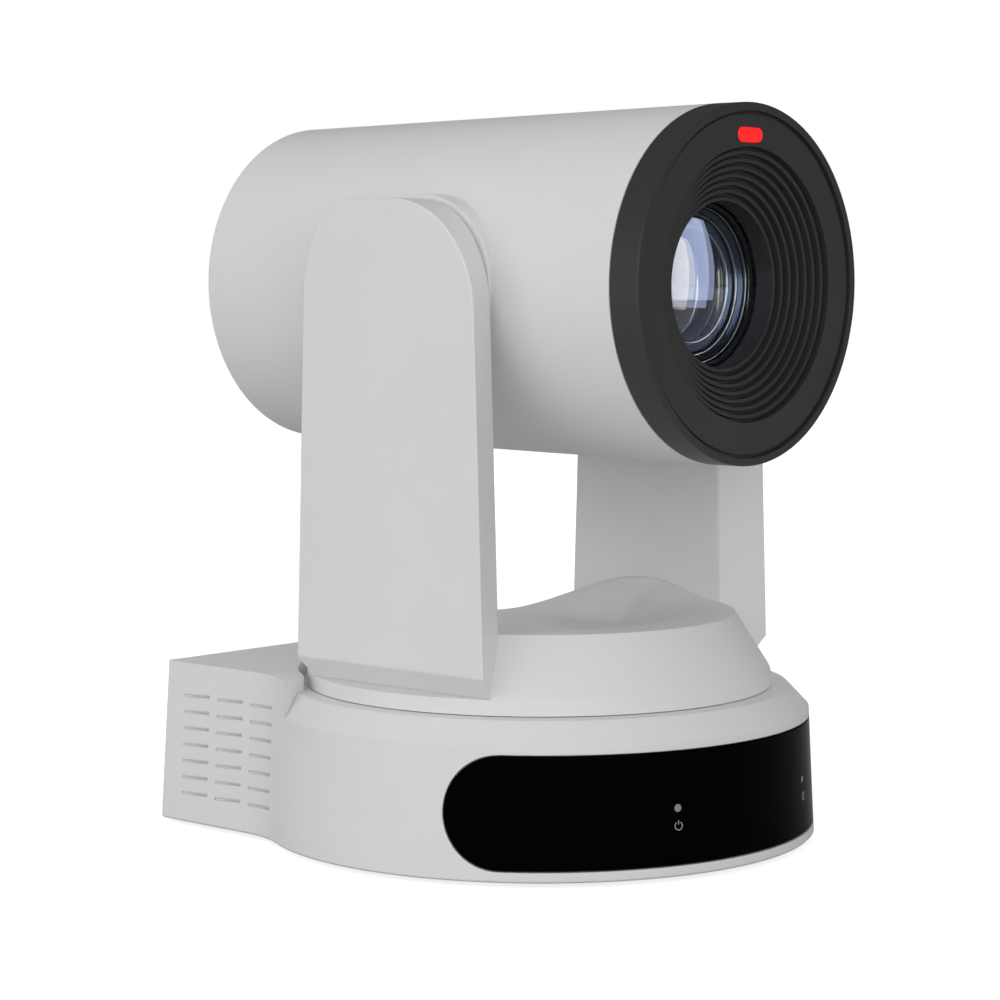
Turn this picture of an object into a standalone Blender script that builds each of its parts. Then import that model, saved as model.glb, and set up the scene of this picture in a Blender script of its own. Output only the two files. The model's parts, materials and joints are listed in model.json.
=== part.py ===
"""Pan, tilt and zoom camera on a desk base. Metres, +Z up, the lens looks along -Y.

The shapes are drawn round the pan axis. An empty then moves that axis so that the
whole camera stands centred on the origin.
"""

import math

import bmesh
import bpy
from mathutils import Matrix

# Fit between pieces, and the reach of cutters that go right through
GAP = 0.0003
FAR = 0.2
SMALL_SEGMENTS = 12
MEDIUM_SEGMENTS = 16
LARGE_SEGMENTS = 32
BEZEL_SEGMENTS = 28

# Base housing
FOOT_PROUD = 0.0012
BASE_RADIUS = 0.071
BASE_DRAFT = 0.049
BOX_HALF_WIDTH = 0.059
BOX_REAR = 0.081
BOX_FRONT = 0.0325
BOX_HEIGHT = 0.0415
BOX_CORNER_RADIUS = 0.004
BLEND_RADIUS = 0.020
SHOULDER_START = 0.032
SHOULDER_HEIGHT = 0.0375
SHOULDER_INSET = 0.0052
WELL_RADIUS = 0.062
HOUSING_WALL = 0.0025
ROOF_START = 0.0295
ROOF_HEIGHT = 0.0353
ROOF_INSET = 0.0055

# Front window, measured along the wall
WINDOW_HALF_LENGTH = 0.083
WINDOW_HALF_HEIGHT = 0.0135
WINDOW_MIDDLE = 0.0163
WINDOW_THICKNESS = 0.0015
LIGHT_ANGLE = math.radians(21.0)
LIGHT_RADIUS = 0.001

# Side vents
VENT_ROWS = 7
VENT_ROW_PITCH = 0.00425
VENT_LOWEST = 0.0077
VENT_COLUMNS = (0.0424, 0.0549, 0.0674)
VENT_LENGTH = 0.0095
VENT_SLOT = 0.0011
VENT_SLOPE = math.radians(30.0)

# Base plate, feet and fixings
PLATE_RECESS = 0.0004
PLATE_THICKNESS = 0.0016
POST_RADIUS = 0.004
POST_SETBACK = 0.010
POST_ANGLE = math.radians(41.0)
REAR_POST_INSET = 0.0065
REAR_POST_PLACE = 0.0315
FOOT_RADIUS = 0.006
FOOT_SETBACK = 0.020
FOOT_ANGLE = math.radians(34.6)
REAR_FOOT_INSET = 0.013
REAR_FOOT_SETBACK = 0.025
STANDOFF_RADIUS = 0.003
STANDOFF_INSET = 0.006
STANDOFF_PITCH = 0.025
SCREW_RADIUS = 0.0013
SCREW_HEAD_RADIUS = 0.0026
SCREW_HEAD_HEIGHT = 0.0015
SCREW_LENGTH = 0.009
TRIPOD_BODY_RADIUS = 0.0065
TRIPOD_FLANGE_RADIUS = 0.0095
TRIPOD_BORE_RADIUS = 0.0026
TRIPOD_HEIGHT = 0.0085

# Boards and rear panel
BOARD_HEIGHT = 0.0055
BOARD_THICKNESS = 0.0016
BOARD_HALF_WIDTH = 0.050
BOARD_FRONT = 0.014
BOARD_REAR = 0.074
COOLER = ((-0.013, 0.013), (0.026, 0.050), 0.007)
NETWORK_COIL = ((0.020, 0.036), (0.022, 0.034), 0.004)
POWER_STAGE = ((-0.036, -0.020), (0.022, 0.038), 0.003)
PANEL_SETBACK = 0.0029
PANEL_THICKNESS = 0.0015
PANEL_HALF_WIDTH = 0.0467
PANEL_LOW = 0.0053
PANEL_HIGH = 0.0307
SOCKET_PROUD = 0.0005
LAN_PLACE = 0.0255
LAN_SIZE = (0.016, 0.021, 0.0134)
LAN_MOUTH = (0.012, 0.012, 0.009)
POWER_PLACE = 0.040
POWER_SIZE = (0.009, 0.014, 0.011)
USB_PLACE = 0.008
USB_SIZE = (0.0145, 0.014, 0.0072)
HDMI_PLACE = -0.009
HDMI_SIZE = (0.015, 0.012, 0.0062)
SERIAL_PLACE = -0.0255
SERIAL_SIZE = (0.014, 0.013, 0.0135)
SDI_PLACE = -0.040
SDI_HEIGHT = 0.0165
SDI_RADIUS = 0.0048
SDI_REACH = 0.0886
SDI_FLANGE_RADIUS = 0.0062
SDI_BORE = 0.0040
SDI_LUG_RADIUS = 0.0009
SDI_LUG_SETBACK = 0.004
SDI_LUG_REACH = 0.0055
AUDIO_PLACE = 0.008
AUDIO_HEIGHT = 0.0245
AUDIO_RADIUS = 0.0045
AUDIO_NOSE_RADIUS = 0.003
AUDIO_BORE = 0.00185
INDICATOR_HALF_WIDTH = 0.0275
INDICATOR_SETBACK = 0.0101
INDICATOR_LOW = 0.008
INDICATOR_HIGH = 0.025
RECEIVER_HALF_WIDTH = 0.0028
RECEIVER_HALF_HEIGHT = 0.0035
RECEIVER_DEPTH = 0.0055

# Pan drive
PAN_MOTOR_SETBACK = 0.02786
PAN_MOTOR_ANGLE = math.radians(45.94)
PAN_MOTOR_RADIUS = 0.012
PAN_MOTOR_HEIGHT = 0.0145
MOTOR_SHAFT_RADIUS = 0.0015
PAN_MOTOR_PULLEY_RADIUS = 0.006
PAN_PULLEY_RADIUS = 0.030
PAN_PULLEY_TEETH = 30
PAN_MOTOR_PULLEY_TEETH = 6
PAN_PULLEY_HEIGHT = 0.019
PULLEY_WIDTH = 0.005
PULLEY_TOOTH_WIDTH = 0.0026
BELT_THICKNESS = 0.0012
BELT_WIDTH = 0.004
SHAFT_RADIUS = 0.0147
SHAFT_BORE = 0.010
SHAFT_FLANGE_RADIUS = 0.020
SHAFT_FLANGE_WIDTH = 0.0017
BEARING_RADIUS = 0.021
BEARING_WIDTH = 0.0044
SEAT_DEPTH = 0.0018
BORE_RADIUS = 0.016
BOSS_RADIUS = 0.0245

# Turntable
RIM_RADIUS = 0.0597
RIM_HEIGHT = 0.0415
DECK_RADIUS = 0.0505
DECK_HEIGHT = 0.056
VALLEY_HEIGHT = 0.0485
SUMMIT_HEIGHT = 0.0625
SWEEP_CLEARANCE = 0.0015
VALLEY_HALF_WIDTH = 0.034
HUMP_HEIGHT = 0.061
HUMP_PEAK = 0.002
HUMP_FRONT_REACH = 0.026
HUMP_REAR_REACH = 0.052
DECK_ROWS = 22
TURNTABLE_CAVITY_RADIUS = 0.043
PAN_PLATE_RADIUS = 0.040
SHEET = 0.002

# Arms
ARM_INNER_FACE = 0.044
ARM_OUTER_FACE = 0.0564
ARM_FOOT_HALF_WIDTH = 0.0259
ARM_FLARE = 0.0057
ARM_NARROWING = 0.0030
ARM_RISE = 0.0208
ARM_FRONT_ROUND = 0.028
ARM_REAR_ROUND = 0.024
ARM_EDGE = 0.0009
ARM_FRONT_FLAT = 0.0015
ARM_WALL = 0.002
ARM_PLATE_RISE = 0.0085
ARM_PLATE_INSET = 0.0002
ARM_PLATE_THICKNESS = 0.002
FOOT_CHAMFER_WIDTH = 0.0046
FOOT_CHAMFER_HEIGHT = 0.0054
YOKE_FACE = 0.0469
YOKE_HALF_WIDTH = 0.013
YOKE_FOOT_REACH = 0.030
YOKE_HEAD_RADIUS = 0.0145

# Tilt drive
TILT_HEIGHT = 0.1397
TILT_SHAFT_RADIUS = 0.006
TILT_SHAFT_BORE = 0.0035
TILT_SHAFT_REACH = 0.0333
TILT_BUSH_RADIUS = 0.0085
COLLAR_RADIUS = 0.023
COLLAR_FACE = 0.0436
GEAR_MODULE = 0.0008
GEAR_TEETH = 40
PINION_TEETH = 10
GEAR_FACE = 0.0334
GEAR_WIDTH = 0.0028
TOOTH_BACKLASH = 0.00025
TOOTH_HEIGHT = 0.0006
TOOTH_DEPTH = 0.0009
TILT_MOTOR_RADIUS = 0.008
TILT_MOTOR_LENGTH = 0.008

# Head
HEAD_FRONT = -0.0673
BEZEL_RADIUS = 0.0435
BEZEL_DEPTH = 0.0083
HEAD_REAR_RADIUS = 0.04175
HEAD_WALL = 0.0022
BEZEL_RIM_WIDTH = 0.002
BEZEL_FACE_RECESS = 0.0007
BAFFLE_RADIUS = 0.033
BAFFLE_STEPS = 7
BAFFLE_STEP_WIDTH = 0.00183
BAFFLE_STEP_DEPTH = 0.0011
TALLY_HEIGHT = 0.03575
TALLY_LENGTH = 0.0096
TALLY_WIDTH = 0.0035
REAR_CAP_INSET = 0.0008
SIDE_PLATE_FACE = 0.0315
SIDE_PLATE_FRONT = -0.022
SIDE_PLATE_REAR = 0.034
SIDE_PLATE_THICKNESS = 0.0015

# Lens
BARREL_RADIUS = 0.022
BARREL_BORE = 0.0193
BARREL_FRONT = -0.053
BARREL_REAR = 0.020
GLASS_RADIUS = 0.019
GLASS_RIM = -0.0524
GLASS_SAG = 0.0038
GUIDE_PLACE = 0.0172
GUIDE_RADIUS = 0.001
GUIDE_FRONT = -0.044
ZOOM_PLACE = -0.020
FOCUS_PLACE = 0.002
GROUP_RADIUS = 0.0188
GROUP_GLASS_RADIUS = 0.011
GROUP_LENGTH = 0.005
SENSOR_HALF_WIDTH = 0.018
SENSOR_HOUSING_LENGTH = 0.0097

TURN = 2.0 * math.pi
ALONG_X = Matrix.Rotation(math.pi / 2.0, 4, "Y")
ALONG_Y = Matrix.Rotation(-math.pi / 2.0, 4, "X")
TILT_AXIS_Z = FOOT_PROUD + TILT_HEIGHT
ARM_TOP = TILT_HEIGHT + ARM_RISE
# The rear of the head reaches as far as its swing over the turntable allows.
HEAD_SWING = TILT_HEIGHT - VALLEY_HEIGHT - SWEEP_CLEARANCE
HEAD_REAR = math.sqrt(HEAD_SWING ** 2 - HEAD_REAR_RADIUS ** 2)
PANEL_FACE = BOX_REAR - PANEL_SETBACK
SOCKET_FACE = PANEL_FACE + SOCKET_PROUD
INDICATOR_FACE = INDICATOR_SETBACK - BASE_RADIUS
PAN_MOTOR_REACH = BASE_RADIUS - PAN_MOTOR_SETBACK
PAN_MOTOR_PLACE = (-PAN_MOTOR_REACH * math.cos(PAN_MOTOR_ANGLE), -PAN_MOTOR_REACH * math.sin(PAN_MOTOR_ANGLE))
PIVOT_Y = -(SDI_REACH - BASE_RADIUS) / 2.0


def mirrored(*places):
    """Each place on the left, then on the right."""
    return [(side * x, y) for x, y in places for side in (-1, 1)]


POST_PLACES = mirrored(((BASE_RADIUS - POST_SETBACK) * math.cos(POST_ANGLE),
                        -(BASE_RADIUS - POST_SETBACK) * math.sin(POST_ANGLE)),
                       (BOX_HALF_WIDTH - REAR_POST_INSET, REAR_POST_PLACE))
FOOT_PLACES = mirrored(((BASE_RADIUS - FOOT_SETBACK) * math.cos(FOOT_ANGLE),
                        -(BASE_RADIUS - FOOT_SETBACK) * math.sin(FOOT_ANGLE)),
                       (BOX_HALF_WIDTH - REAR_FOOT_INSET, BOX_REAR - REAR_FOOT_SETBACK))
STANDOFF_PLACES = mirrored((BOARD_HALF_WIDTH - STANDOFF_INSET, BOARD_FRONT + STANDOFF_INSET),
                           (BOARD_HALF_WIDTH - STANDOFF_INSET, BOARD_FRONT + STANDOFF_INSET + STANDOFF_PITCH))


def clear_scene():
    for obj in list(bpy.data.objects):
        bpy.data.objects.remove(obj, do_unlink=True)


def make_material(name, colour, roughness, metallic=0.0, transmission=0.0):
    material = bpy.data.materials.new(name)
    material.use_nodes = True
    shader = material.node_tree.nodes["Principled BSDF"]
    shader.inputs["Base Color"].default_value = (*colour, 1.0)
    shader.inputs["Roughness"].default_value = roughness
    shader.inputs["Metallic"].default_value = metallic
    shader.inputs["Transmission Weight"].default_value = transmission
    material.diffuse_color = (*colour, 1.0)
    return material


def at(x=0.0, y=0.0, z=0.0):
    return Matrix.Translation((x, y, z))


# Plain solids, each returned as a bmesh


def loft(rings):
    """A solid through closed rings of equal length, capped at both ends."""
    bm = bmesh.new()
    loops = [[bm.verts.new(point) for point in ring] for ring in rings]
    count = len(loops[0])
    for low, high in zip(loops, loops[1:]):
        for i in range(count):
            j = (i + 1) % count
            bm.faces.new((low[i], low[j], high[j], high[i]))
    bm.faces.new(loops[0][::-1])
    bm.faces.new(loops[-1])
    return bm


def prism(outline, low, high):
    """A flat outline in X and Y, raised from one height to another."""
    return loft([[(x, y, z) for x, y in outline] for z in (low, high)])


def box(x, y, z):
    """A block between three pairs of limits."""
    return prism([(x[0], y[0]), (x[1], y[0]), (x[1], y[1]), (x[0], y[1])], *z)


def revolve(profile, segments):
    """A solid turned round Z from (radius, height) points.

    A profile that starts and ends on the axis stays open there. Any other is a closed loop.
    """
    bm = bmesh.new()
    points = [bm.verts.new((radius, 0.0, height)) for radius, height in profile]
    edges = [bm.edges.new(pair) for pair in zip(points, points[1:])]
    if profile[0][0] > 0.0 or profile[-1][0] > 0.0:
        edges.append(bm.edges.new((points[-1], points[0])))
    bmesh.ops.spin(bm, geom=points + edges, cent=(0.0, 0.0, 0.0), axis=(0.0, 0.0, 1.0),
                   angle=TURN, steps=segments, use_merge=True)
    bmesh.ops.remove_doubles(bm, verts=bm.verts, dist=1e-6)
    return bm


def cylinder(radius, low, high, segments=MEDIUM_SEGMENTS):
    return revolve([(0.0, low), (radius, low), (radius, high), (0.0, high)], segments)


def tube(inner, outer, low, high, segments=MEDIUM_SEGMENTS):
    return revolve([(inner, low), (outer, low), (outer, high), (inner, high)], segments)


def merged(*solids):
    """One bmesh that holds several separate solids, used as a cutter."""
    bm = bmesh.new()
    for solid in solids:
        mesh = bpy.data.meshes.new("held")
        bmesh.ops.recalc_face_normals(solid, faces=solid.faces)
        solid.to_mesh(mesh)
        solid.free()
        bm.from_mesh(mesh)
        bpy.data.meshes.remove(mesh)
    return bm


def moved(bm, matrix):
    bmesh.ops.transform(bm, matrix=matrix, verts=bm.verts)
    return bm


# Objects and Booleans


def bare_object(bm, name):
    bmesh.ops.recalc_face_normals(bm, faces=bm.faces)
    mesh = bpy.data.meshes.new(name)
    bm.to_mesh(mesh)
    bm.free()
    obj = bpy.data.objects.new(name, mesh)
    bpy.context.scene.collection.objects.link(obj)
    return obj


def triangulate(obj):
    """Splits every face, since exact Booleans are surer on triangles."""
    bm = bmesh.new()
    bm.from_mesh(obj.data)
    bmesh.ops.triangulate(bm, faces=bm.faces)
    bm.to_mesh(obj.data)
    bm.free()


def combine(obj, bm, operation):
    """Applies an exact Boolean with a bmesh to an object, and drops the tool."""
    tool = bare_object(bm, obj.name + "_tool")
    triangulate(obj)
    modifier = obj.modifiers.new("shape", "BOOLEAN")
    modifier.operation = operation
    modifier.solver = "EXACT"
    modifier.object = tool
    bpy.context.view_layer.update()
    shaped = bpy.data.meshes.new_from_object(obj.evaluated_get(bpy.context.evaluated_depsgraph_get()))
    obj.modifiers.remove(modifier)
    old = obj.data
    obj.data = shaped
    shaped.name = obj.name
    bpy.data.meshes.remove(old)
    bpy.data.meshes.remove(tool.data)


def cut(obj, *tools):
    for tool in tools:
        combine(obj, tool, "DIFFERENCE")
    return obj


def join(obj, *tools):
    for tool in tools:
        combine(obj, tool, "UNION")
    return obj


def piece(obj, material, parent, smooth_angle=32.0):
    """Finishes a sub-part: material, shading and the body that it rides on."""
    mesh = obj.data
    mesh.materials.clear()
    mesh.materials.append(material)
    mesh.polygons.foreach_set("use_smooth", [True] * len(mesh.polygons))
    mesh.set_sharp_from_angle(angle=math.radians(smooth_angle))
    obj.parent = parent
    obj.matrix_parent_inverse = parent_offset(parent).inverted()
    return obj


def parent_offset(parent):
    """Where a body's empty stands in the frame that the shapes are drawn in."""
    offset = Matrix.Identity(4)
    while parent is not None and parent.name != "camera_root":
        offset = Matrix.Translation(parent.location) @ offset
        parent = parent.parent
    return offset


def body(name, parent, place):
    """An empty on a joint axis, placed in the frame that the shapes are drawn in."""
    empty = bpy.data.objects.new(name, None)
    empty.empty_display_size = 0.02
    bpy.context.scene.collection.objects.link(empty)
    empty.parent = parent
    inner = parent_offset(parent).translation
    empty.location = (place[0] - inner[0], place[1] - inner[1], place[2] - inner[2])
    return empty


# Outlines


def arc(centre, radius, start, end, steps):
    return [(centre[0] + radius * math.cos(start + (end - start) * i / steps),
             centre[1] + radius * math.sin(start + (end - start) * i / steps))
            for i in range(steps + 1)]


def base_outline(inset):
    """The round base with its rear box, drawn in from the wall by an inset."""
    radius, blend = BASE_RADIUS - inset, BLEND_RADIUS + inset
    half, rear = BOX_HALF_WIDTH - inset, BOX_REAR - inset
    corner = max(BOX_CORNER_RADIUS - inset, 0.0006)
    middle = (half + blend, math.sqrt((radius + blend) ** 2 - (half + blend) ** 2))
    meet = math.atan2(middle[1], middle[0])
    right = arc((0.0, 0.0), radius, -math.pi / 2.0, meet, 16)
    right += arc(middle, blend, meet + math.pi, math.pi, 3)[1:]
    right += arc((half - corner, rear - corner), corner, 0.0, math.pi / 2.0, 3)
    return right + [(-x, y) for x, y in right[::-1] if x > 1e-9]


def base_ring(inset, height):
    return [(x, y, FOOT_PROUD + height) for x, y in base_outline(inset)]


def wall_radius(height):
    return BASE_RADIUS - BASE_DRAFT * height


def toothed_outline(teeth, tip, root, tip_width, root_width, phase=0.0):
    """A gear or toothed pulley outline with straight tooth flanks."""
    points = []
    for tooth in range(teeth):
        middle = phase + TURN * tooth / teeth
        for radius, width, side in ((root, root_width, -1), (tip, tip_width, -1),
                                    (tip, tip_width, 1), (root, root_width, 1)):
            angle = middle + side * width / (2.0 * radius)
            points.append((radius * math.cos(angle), radius * math.sin(angle)))
    return points


def pulley_outline(teeth, radius):
    return toothed_outline(teeth, radius, radius - 0.0007, PULLEY_TOOTH_WIDTH, 1.4 * PULLEY_TOOTH_WIDTH)


def belt_outline(big, small, place, steps=20):
    """The loop round two pulleys, one at the origin and one at a place."""
    distance = math.hypot(*place)
    heading = math.atan2(place[1], place[0])
    spread = math.acos((big - small) / distance)
    loop = arc((0.0, 0.0), big, heading + spread, heading + TURN - spread, steps)
    return loop + arc(place, small, heading - spread, heading + spread, steps // 2)


def arm_outline(section, inset, bottom):
    """Arm outline in Y and Z. Section 0 is the face by the head and 1 the outer face."""
    top = ARM_TOP - inset
    half = ARM_FOOT_HALF_WIDTH + ARM_FLARE * section - inset - ARM_NARROWING
    shoulder = ARM_TOP - ARM_FRONT_ROUND
    foot = half + ARM_NARROWING * (shoulder - bottom) / (shoulder - RIM_HEIGHT)
    flat_front, flat_rear = -ARM_FRONT_FLAT, half * 0.5
    outline = [(-foot, bottom)]
    for i in range(10):
        turn = math.pi / 2.0 * i / 9
        outline.append((flat_front - (half + flat_front) * math.cos(turn),
                        top - ARM_FRONT_ROUND + ARM_FRONT_ROUND * math.sin(turn)))
    for i in range(9):
        turn = math.pi / 2.0 * i / 8
        outline.append((flat_rear + (half - flat_rear) * math.sin(turn),
                        top - ARM_REAR_ROUND + ARM_REAR_ROUND * math.cos(turn)))
    outline.append((foot, bottom))
    return outline


def arm_solid(side, sections, bottom):
    """A solid through arm outlines, each given as its x and an inset."""
    span = ARM_OUTER_FACE - ARM_INNER_FACE
    return loft([[(side * x, y, FOOT_PROUD + z)
                  for y, z in arm_outline((x - ARM_INNER_FACE) / span, inset, bottom)]
                 for x, inset in sections])


def curved_plate(half_length, half_height, outer, inner):
    """A plate with round ends, bent to the base wall. The radii follow the height."""
    straight = half_length - half_height
    along = [straight * (i / 8.0 - 1.0) for i in range(17)]
    ends = [straight + half_height * math.sin(math.pi / 2.0 * i / 5) for i in range(1, 6)]
    along = [-value for value in ends[::-1]] + along + ends
    bm = bmesh.new()
    stations = []
    for place in along:
        past = max(0.0, abs(place) - straight)
        height = math.sqrt(max(0.0, half_height ** 2 - past ** 2))
        angle = place / wall_radius(WINDOW_MIDDLE) - math.pi / 2.0
        station = []
        for radius, rise in ((outer, height), (outer, -height), (inner, -height), (inner, height)):
            level = WINDOW_MIDDLE + rise
            reach = wall_radius(level) + radius
            station.append(bm.verts.new((reach * math.cos(angle), reach * math.sin(angle),
                                         FOOT_PROUD + level)))
        stations.append(station)
    for left, right in zip(stations, stations[1:]):
        for i in range(4):
            j = (i + 1) % 4
            bm.faces.new((left[i], left[j], right[j], right[i]))
    bmesh.ops.remove_doubles(bm, verts=bm.verts, dist=1e-6)
    bmesh.ops.triangulate(bm, faces=bm.faces)
    return bm


def stadium(length, width, steps=6):
    """A slot outline with round ends, long in X."""
    radius, reach = width / 2.0, (length - width) / 2.0
    return (arc((reach, 0.0), radius, -math.pi / 2.0, math.pi / 2.0, steps)
            + arc((-reach, 0.0), radius, math.pi / 2.0, 1.5 * math.pi, steps))


# Base


def build_housing(root, materials):
    """The base casting: drafted wall, shoulder, rear box, well, cavity, vents and openings."""
    housing = bare_object(loft([base_ring(0.0, 0.0), base_ring(BASE_DRAFT * BOX_HEIGHT, BOX_HEIGHT)]),
                          "base_housing")
    start = BASE_DRAFT * SHOULDER_START
    slope = (SHOULDER_HEIGHT - SHOULDER_START) / SHOULDER_INSET
    reach = 0.004
    relief = bare_object(loft([
        base_ring(start + SHOULDER_INSET, SHOULDER_HEIGHT),
        base_ring(start - reach, SHOULDER_START - reach * slope),
        base_ring(start - reach, BOX_HEIGHT + 0.010),
    ]), "relief")
    cut(relief, box((-FAR, FAR), (BOX_FRONT, FAR), (0.0, FAR)))
    combine(housing, bm_of(relief), "DIFFERENCE")
    cut(housing, cylinder(WELL_RADIUS, FOOT_PROUD + SHOULDER_HEIGHT, FAR, LARGE_SEGMENTS))

    cavity = bare_object(loft([
        base_ring(HOUSING_WALL - 0.001 * BASE_DRAFT, -0.001),
        base_ring(HOUSING_WALL + BASE_DRAFT * ROOF_START, ROOF_START),
        base_ring(HOUSING_WALL + BASE_DRAFT * ROOF_START + ROOF_INSET, ROOF_HEIGHT),
    ]), "cavity")
    side_wall = BOX_HALF_WIDTH - HOUSING_WALL - BASE_DRAFT * ROOF_HEIGHT
    join(cavity, box((-side_wall, side_wall), (BOX_FRONT + 0.006, BOX_REAR - HOUSING_WALL - 0.002),
                     (FOOT_PROUD + 0.003, FOOT_PROUD + ROOF_HEIGHT)))
    post_start = FOOT_PROUD + PLATE_RECESS + PLATE_THICKNESS + GAP
    posts = [moved(cylinder(POST_RADIUS, post_start, FAR, SMALL_SEGMENTS), at(*place))
             for place in POST_PLACES]
    boss_start = FOOT_PROUD + ROOF_HEIGHT - BEARING_WIDTH - 2.0 * GAP - 0.002
    ribs = [box((side * (INDICATOR_HALF_WIDTH + GAP), side * (INDICATOR_HALF_WIDTH + 0.003)),
                (-BASE_RADIUS, INDICATOR_FACE + 0.003), (FOOT_PROUD + 0.006, FAR)) for side in (-1, 1)]
    cut(cavity, *posts, *ribs, cylinder(BOSS_RADIUS, boss_start, FAR))
    combine(housing, bm_of(cavity), "DIFFERENCE")

    seat_top = FOOT_PROUD + ROOF_HEIGHT - SEAT_DEPTH
    cut(housing, merged(*[moved(cylinder(SCREW_RADIUS + GAP, 0.0, post_start + SCREW_LENGTH, 8),
                                at(*place)) for place in POST_PLACES]))
    cut(housing, cylinder(BEARING_RADIUS + GAP, 0.0, seat_top), cylinder(BORE_RADIUS, 0.0, FAR))

    inner = -WINDOW_THICKNESS - GAP
    cut(housing, curved_plate(WINDOW_HALF_LENGTH + GAP, WINDOW_HALF_HEIGHT + GAP, 0.003, inner))
    middle = FOOT_PROUD + WINDOW_MIDDLE
    width, height = RECEIVER_HALF_WIDTH + 0.0017, RECEIVER_HALF_HEIGHT + 0.0015
    cut(housing, merged(box((-width, width), (-FAR, INDICATOR_FACE), (middle - height, middle + height)),
                        *light_holes()))

    slots = []
    for side in (-1, 1):
        for column in VENT_COLUMNS:
            for row in range(VENT_ROWS):
                level = FOOT_PROUD + VENT_LOWEST + row * VENT_ROW_PITCH
                wall = BOX_HALF_WIDTH - BASE_DRAFT * (level - FOOT_PROUD)
                half = VENT_LENGTH / 2.0
                slot = box((-0.0065, 0.003), (-half, half), (-VENT_SLOT / 2.0, VENT_SLOT / 2.0))
                turned = Matrix.Rotation(VENT_SLOPE, 4, "Y")
                mirror = Matrix.Scale(side, 4, (1.0, 0.0, 0.0))
                slots.append(moved(slot, mirror @ at(wall, column, level) @ turned))
    cut(housing, merged(*slots))
    cut(housing, box((-PANEL_HALF_WIDTH - GAP, PANEL_HALF_WIDTH + GAP), (PANEL_FACE - 0.004, FAR),
                     (FOOT_PROUD + PANEL_LOW - GAP, FOOT_PROUD + PANEL_HIGH + GAP)))
    piece(housing, materials["shell"], root)


def bm_of(obj):
    """Takes an object's mesh as a bmesh and removes the object."""
    bm = bmesh.new()
    bm.from_mesh(obj.data)
    bpy.data.meshes.remove(obj.data)
    return bm


def light_holes():
    return [moved(cylinder(LIGHT_RADIUS + GAP, BASE_RADIUS - INDICATOR_SETBACK, FAR, 12), light_matrix(side))
            for side in (-1, 1)]


def light_matrix(side):
    """Turns a solid drawn along Z so that it points out through an indicator place."""
    heading = side * LIGHT_ANGLE - math.pi / 2.0
    return at(0.0, 0.0, FOOT_PROUD + WINDOW_MIDDLE) @ Matrix.Rotation(heading, 4, "Z") @ ALONG_X


def build_window(root, materials):
    window = bare_object(curved_plate(WINDOW_HALF_LENGTH, WINDOW_HALF_HEIGHT, 0.0, -WINDOW_THICKNESS),
                         "front_window")
    cut(window, merged(*light_holes()))
    piece(window, materials["window"], root)
    face = wall_radius(WINDOW_MIDDLE)
    for side, name in ((-1, "standby_light"), (1, "power_light")):
        pipe = moved(cylinder(LIGHT_RADIUS, face - 0.004, face, 12), light_matrix(side))
        piece(bare_object(pipe, name), materials["light"], root)
    low, high = FOOT_PROUD + INDICATOR_LOW, FOOT_PROUD + INDICATOR_HIGH
    middle = FOOT_PROUD + WINDOW_MIDDLE
    board = bare_object(box((-INDICATOR_HALF_WIDTH, INDICATOR_HALF_WIDTH),
                            (INDICATOR_FACE, INDICATOR_FACE + BOARD_THICKNESS), (low, high)),
                        "indicator_board")
    join(board, box((-RECEIVER_HALF_WIDTH, RECEIVER_HALF_WIDTH),
                    (INDICATOR_FACE - RECEIVER_DEPTH, INDICATOR_FACE + BOARD_THICKNESS / 2.0),
                    (middle - RECEIVER_HALF_HEIGHT, middle + RECEIVER_HALF_HEIGHT)))
    piece(board, materials["board"], root)


def build_base_plate(root, materials):
    low = FOOT_PROUD + PLATE_RECESS
    high = low + PLATE_THICKNESS
    plate = bare_object(prism(base_outline(HOUSING_WALL + GAP), low, high), "base_plate")
    join(plate, merged(*[moved(cylinder(STANDOFF_RADIUS, high - 0.0005, FOOT_PROUD + BOARD_HEIGHT - GAP,
                                        8), at(*place)) for place in STANDOFF_PLACES]))
    cut(plate, cylinder(TRIPOD_BODY_RADIUS + GAP, -0.01, 0.02))
    sink = [(0.0, low - 0.001), (SCREW_HEAD_RADIUS + GAP + 0.00085, low - 0.001),
            (SCREW_RADIUS + GAP, low + SCREW_HEAD_HEIGHT), (SCREW_RADIUS + GAP, high + 0.001),
            (0.0, high + 0.001)]
    cut(plate, merged(*[moved(revolve(sink, 8), at(*place)) for place in POST_PLACES]))
    piece(plate, materials["sheet"], root)

    names = ("front_left", "front_right", "rear_left", "rear_right")
    head = [(0.0, low), (SCREW_HEAD_RADIUS, low), (SCREW_RADIUS, low + SCREW_HEAD_HEIGHT),
            (SCREW_RADIUS, low + SCREW_LENGTH), (0.0, low + SCREW_LENGTH)]
    for name, post, foot in zip(names, POST_PLACES, FOOT_PLACES):
        piece(bare_object(moved(revolve(head, 8), at(*post)), "base_screw_" + name),
              materials["steel"], root)
        pad = [(0.0, 0.0), (FOOT_RADIUS - 0.0003, 0.0), (FOOT_RADIUS, 0.0003),
               (FOOT_RADIUS, low - GAP), (0.0, low - GAP)]
        piece(bare_object(moved(revolve(pad, SMALL_SEGMENTS), at(*foot)), "foot_" + name),
              materials["rubber"], root)

    bush = [(TRIPOD_BORE_RADIUS, GAP), (TRIPOD_FLANGE_RADIUS, GAP), (TRIPOD_FLANGE_RADIUS, low - GAP),
            (TRIPOD_BODY_RADIUS, low - GAP), (TRIPOD_BODY_RADIUS, FOOT_PROUD + TRIPOD_HEIGHT),
            (TRIPOD_BORE_RADIUS, FOOT_PROUD + TRIPOD_HEIGHT)]
    piece(bare_object(revolve(bush, MEDIUM_SEGMENTS), "tripod_bush"), materials["brass"], root)


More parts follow.
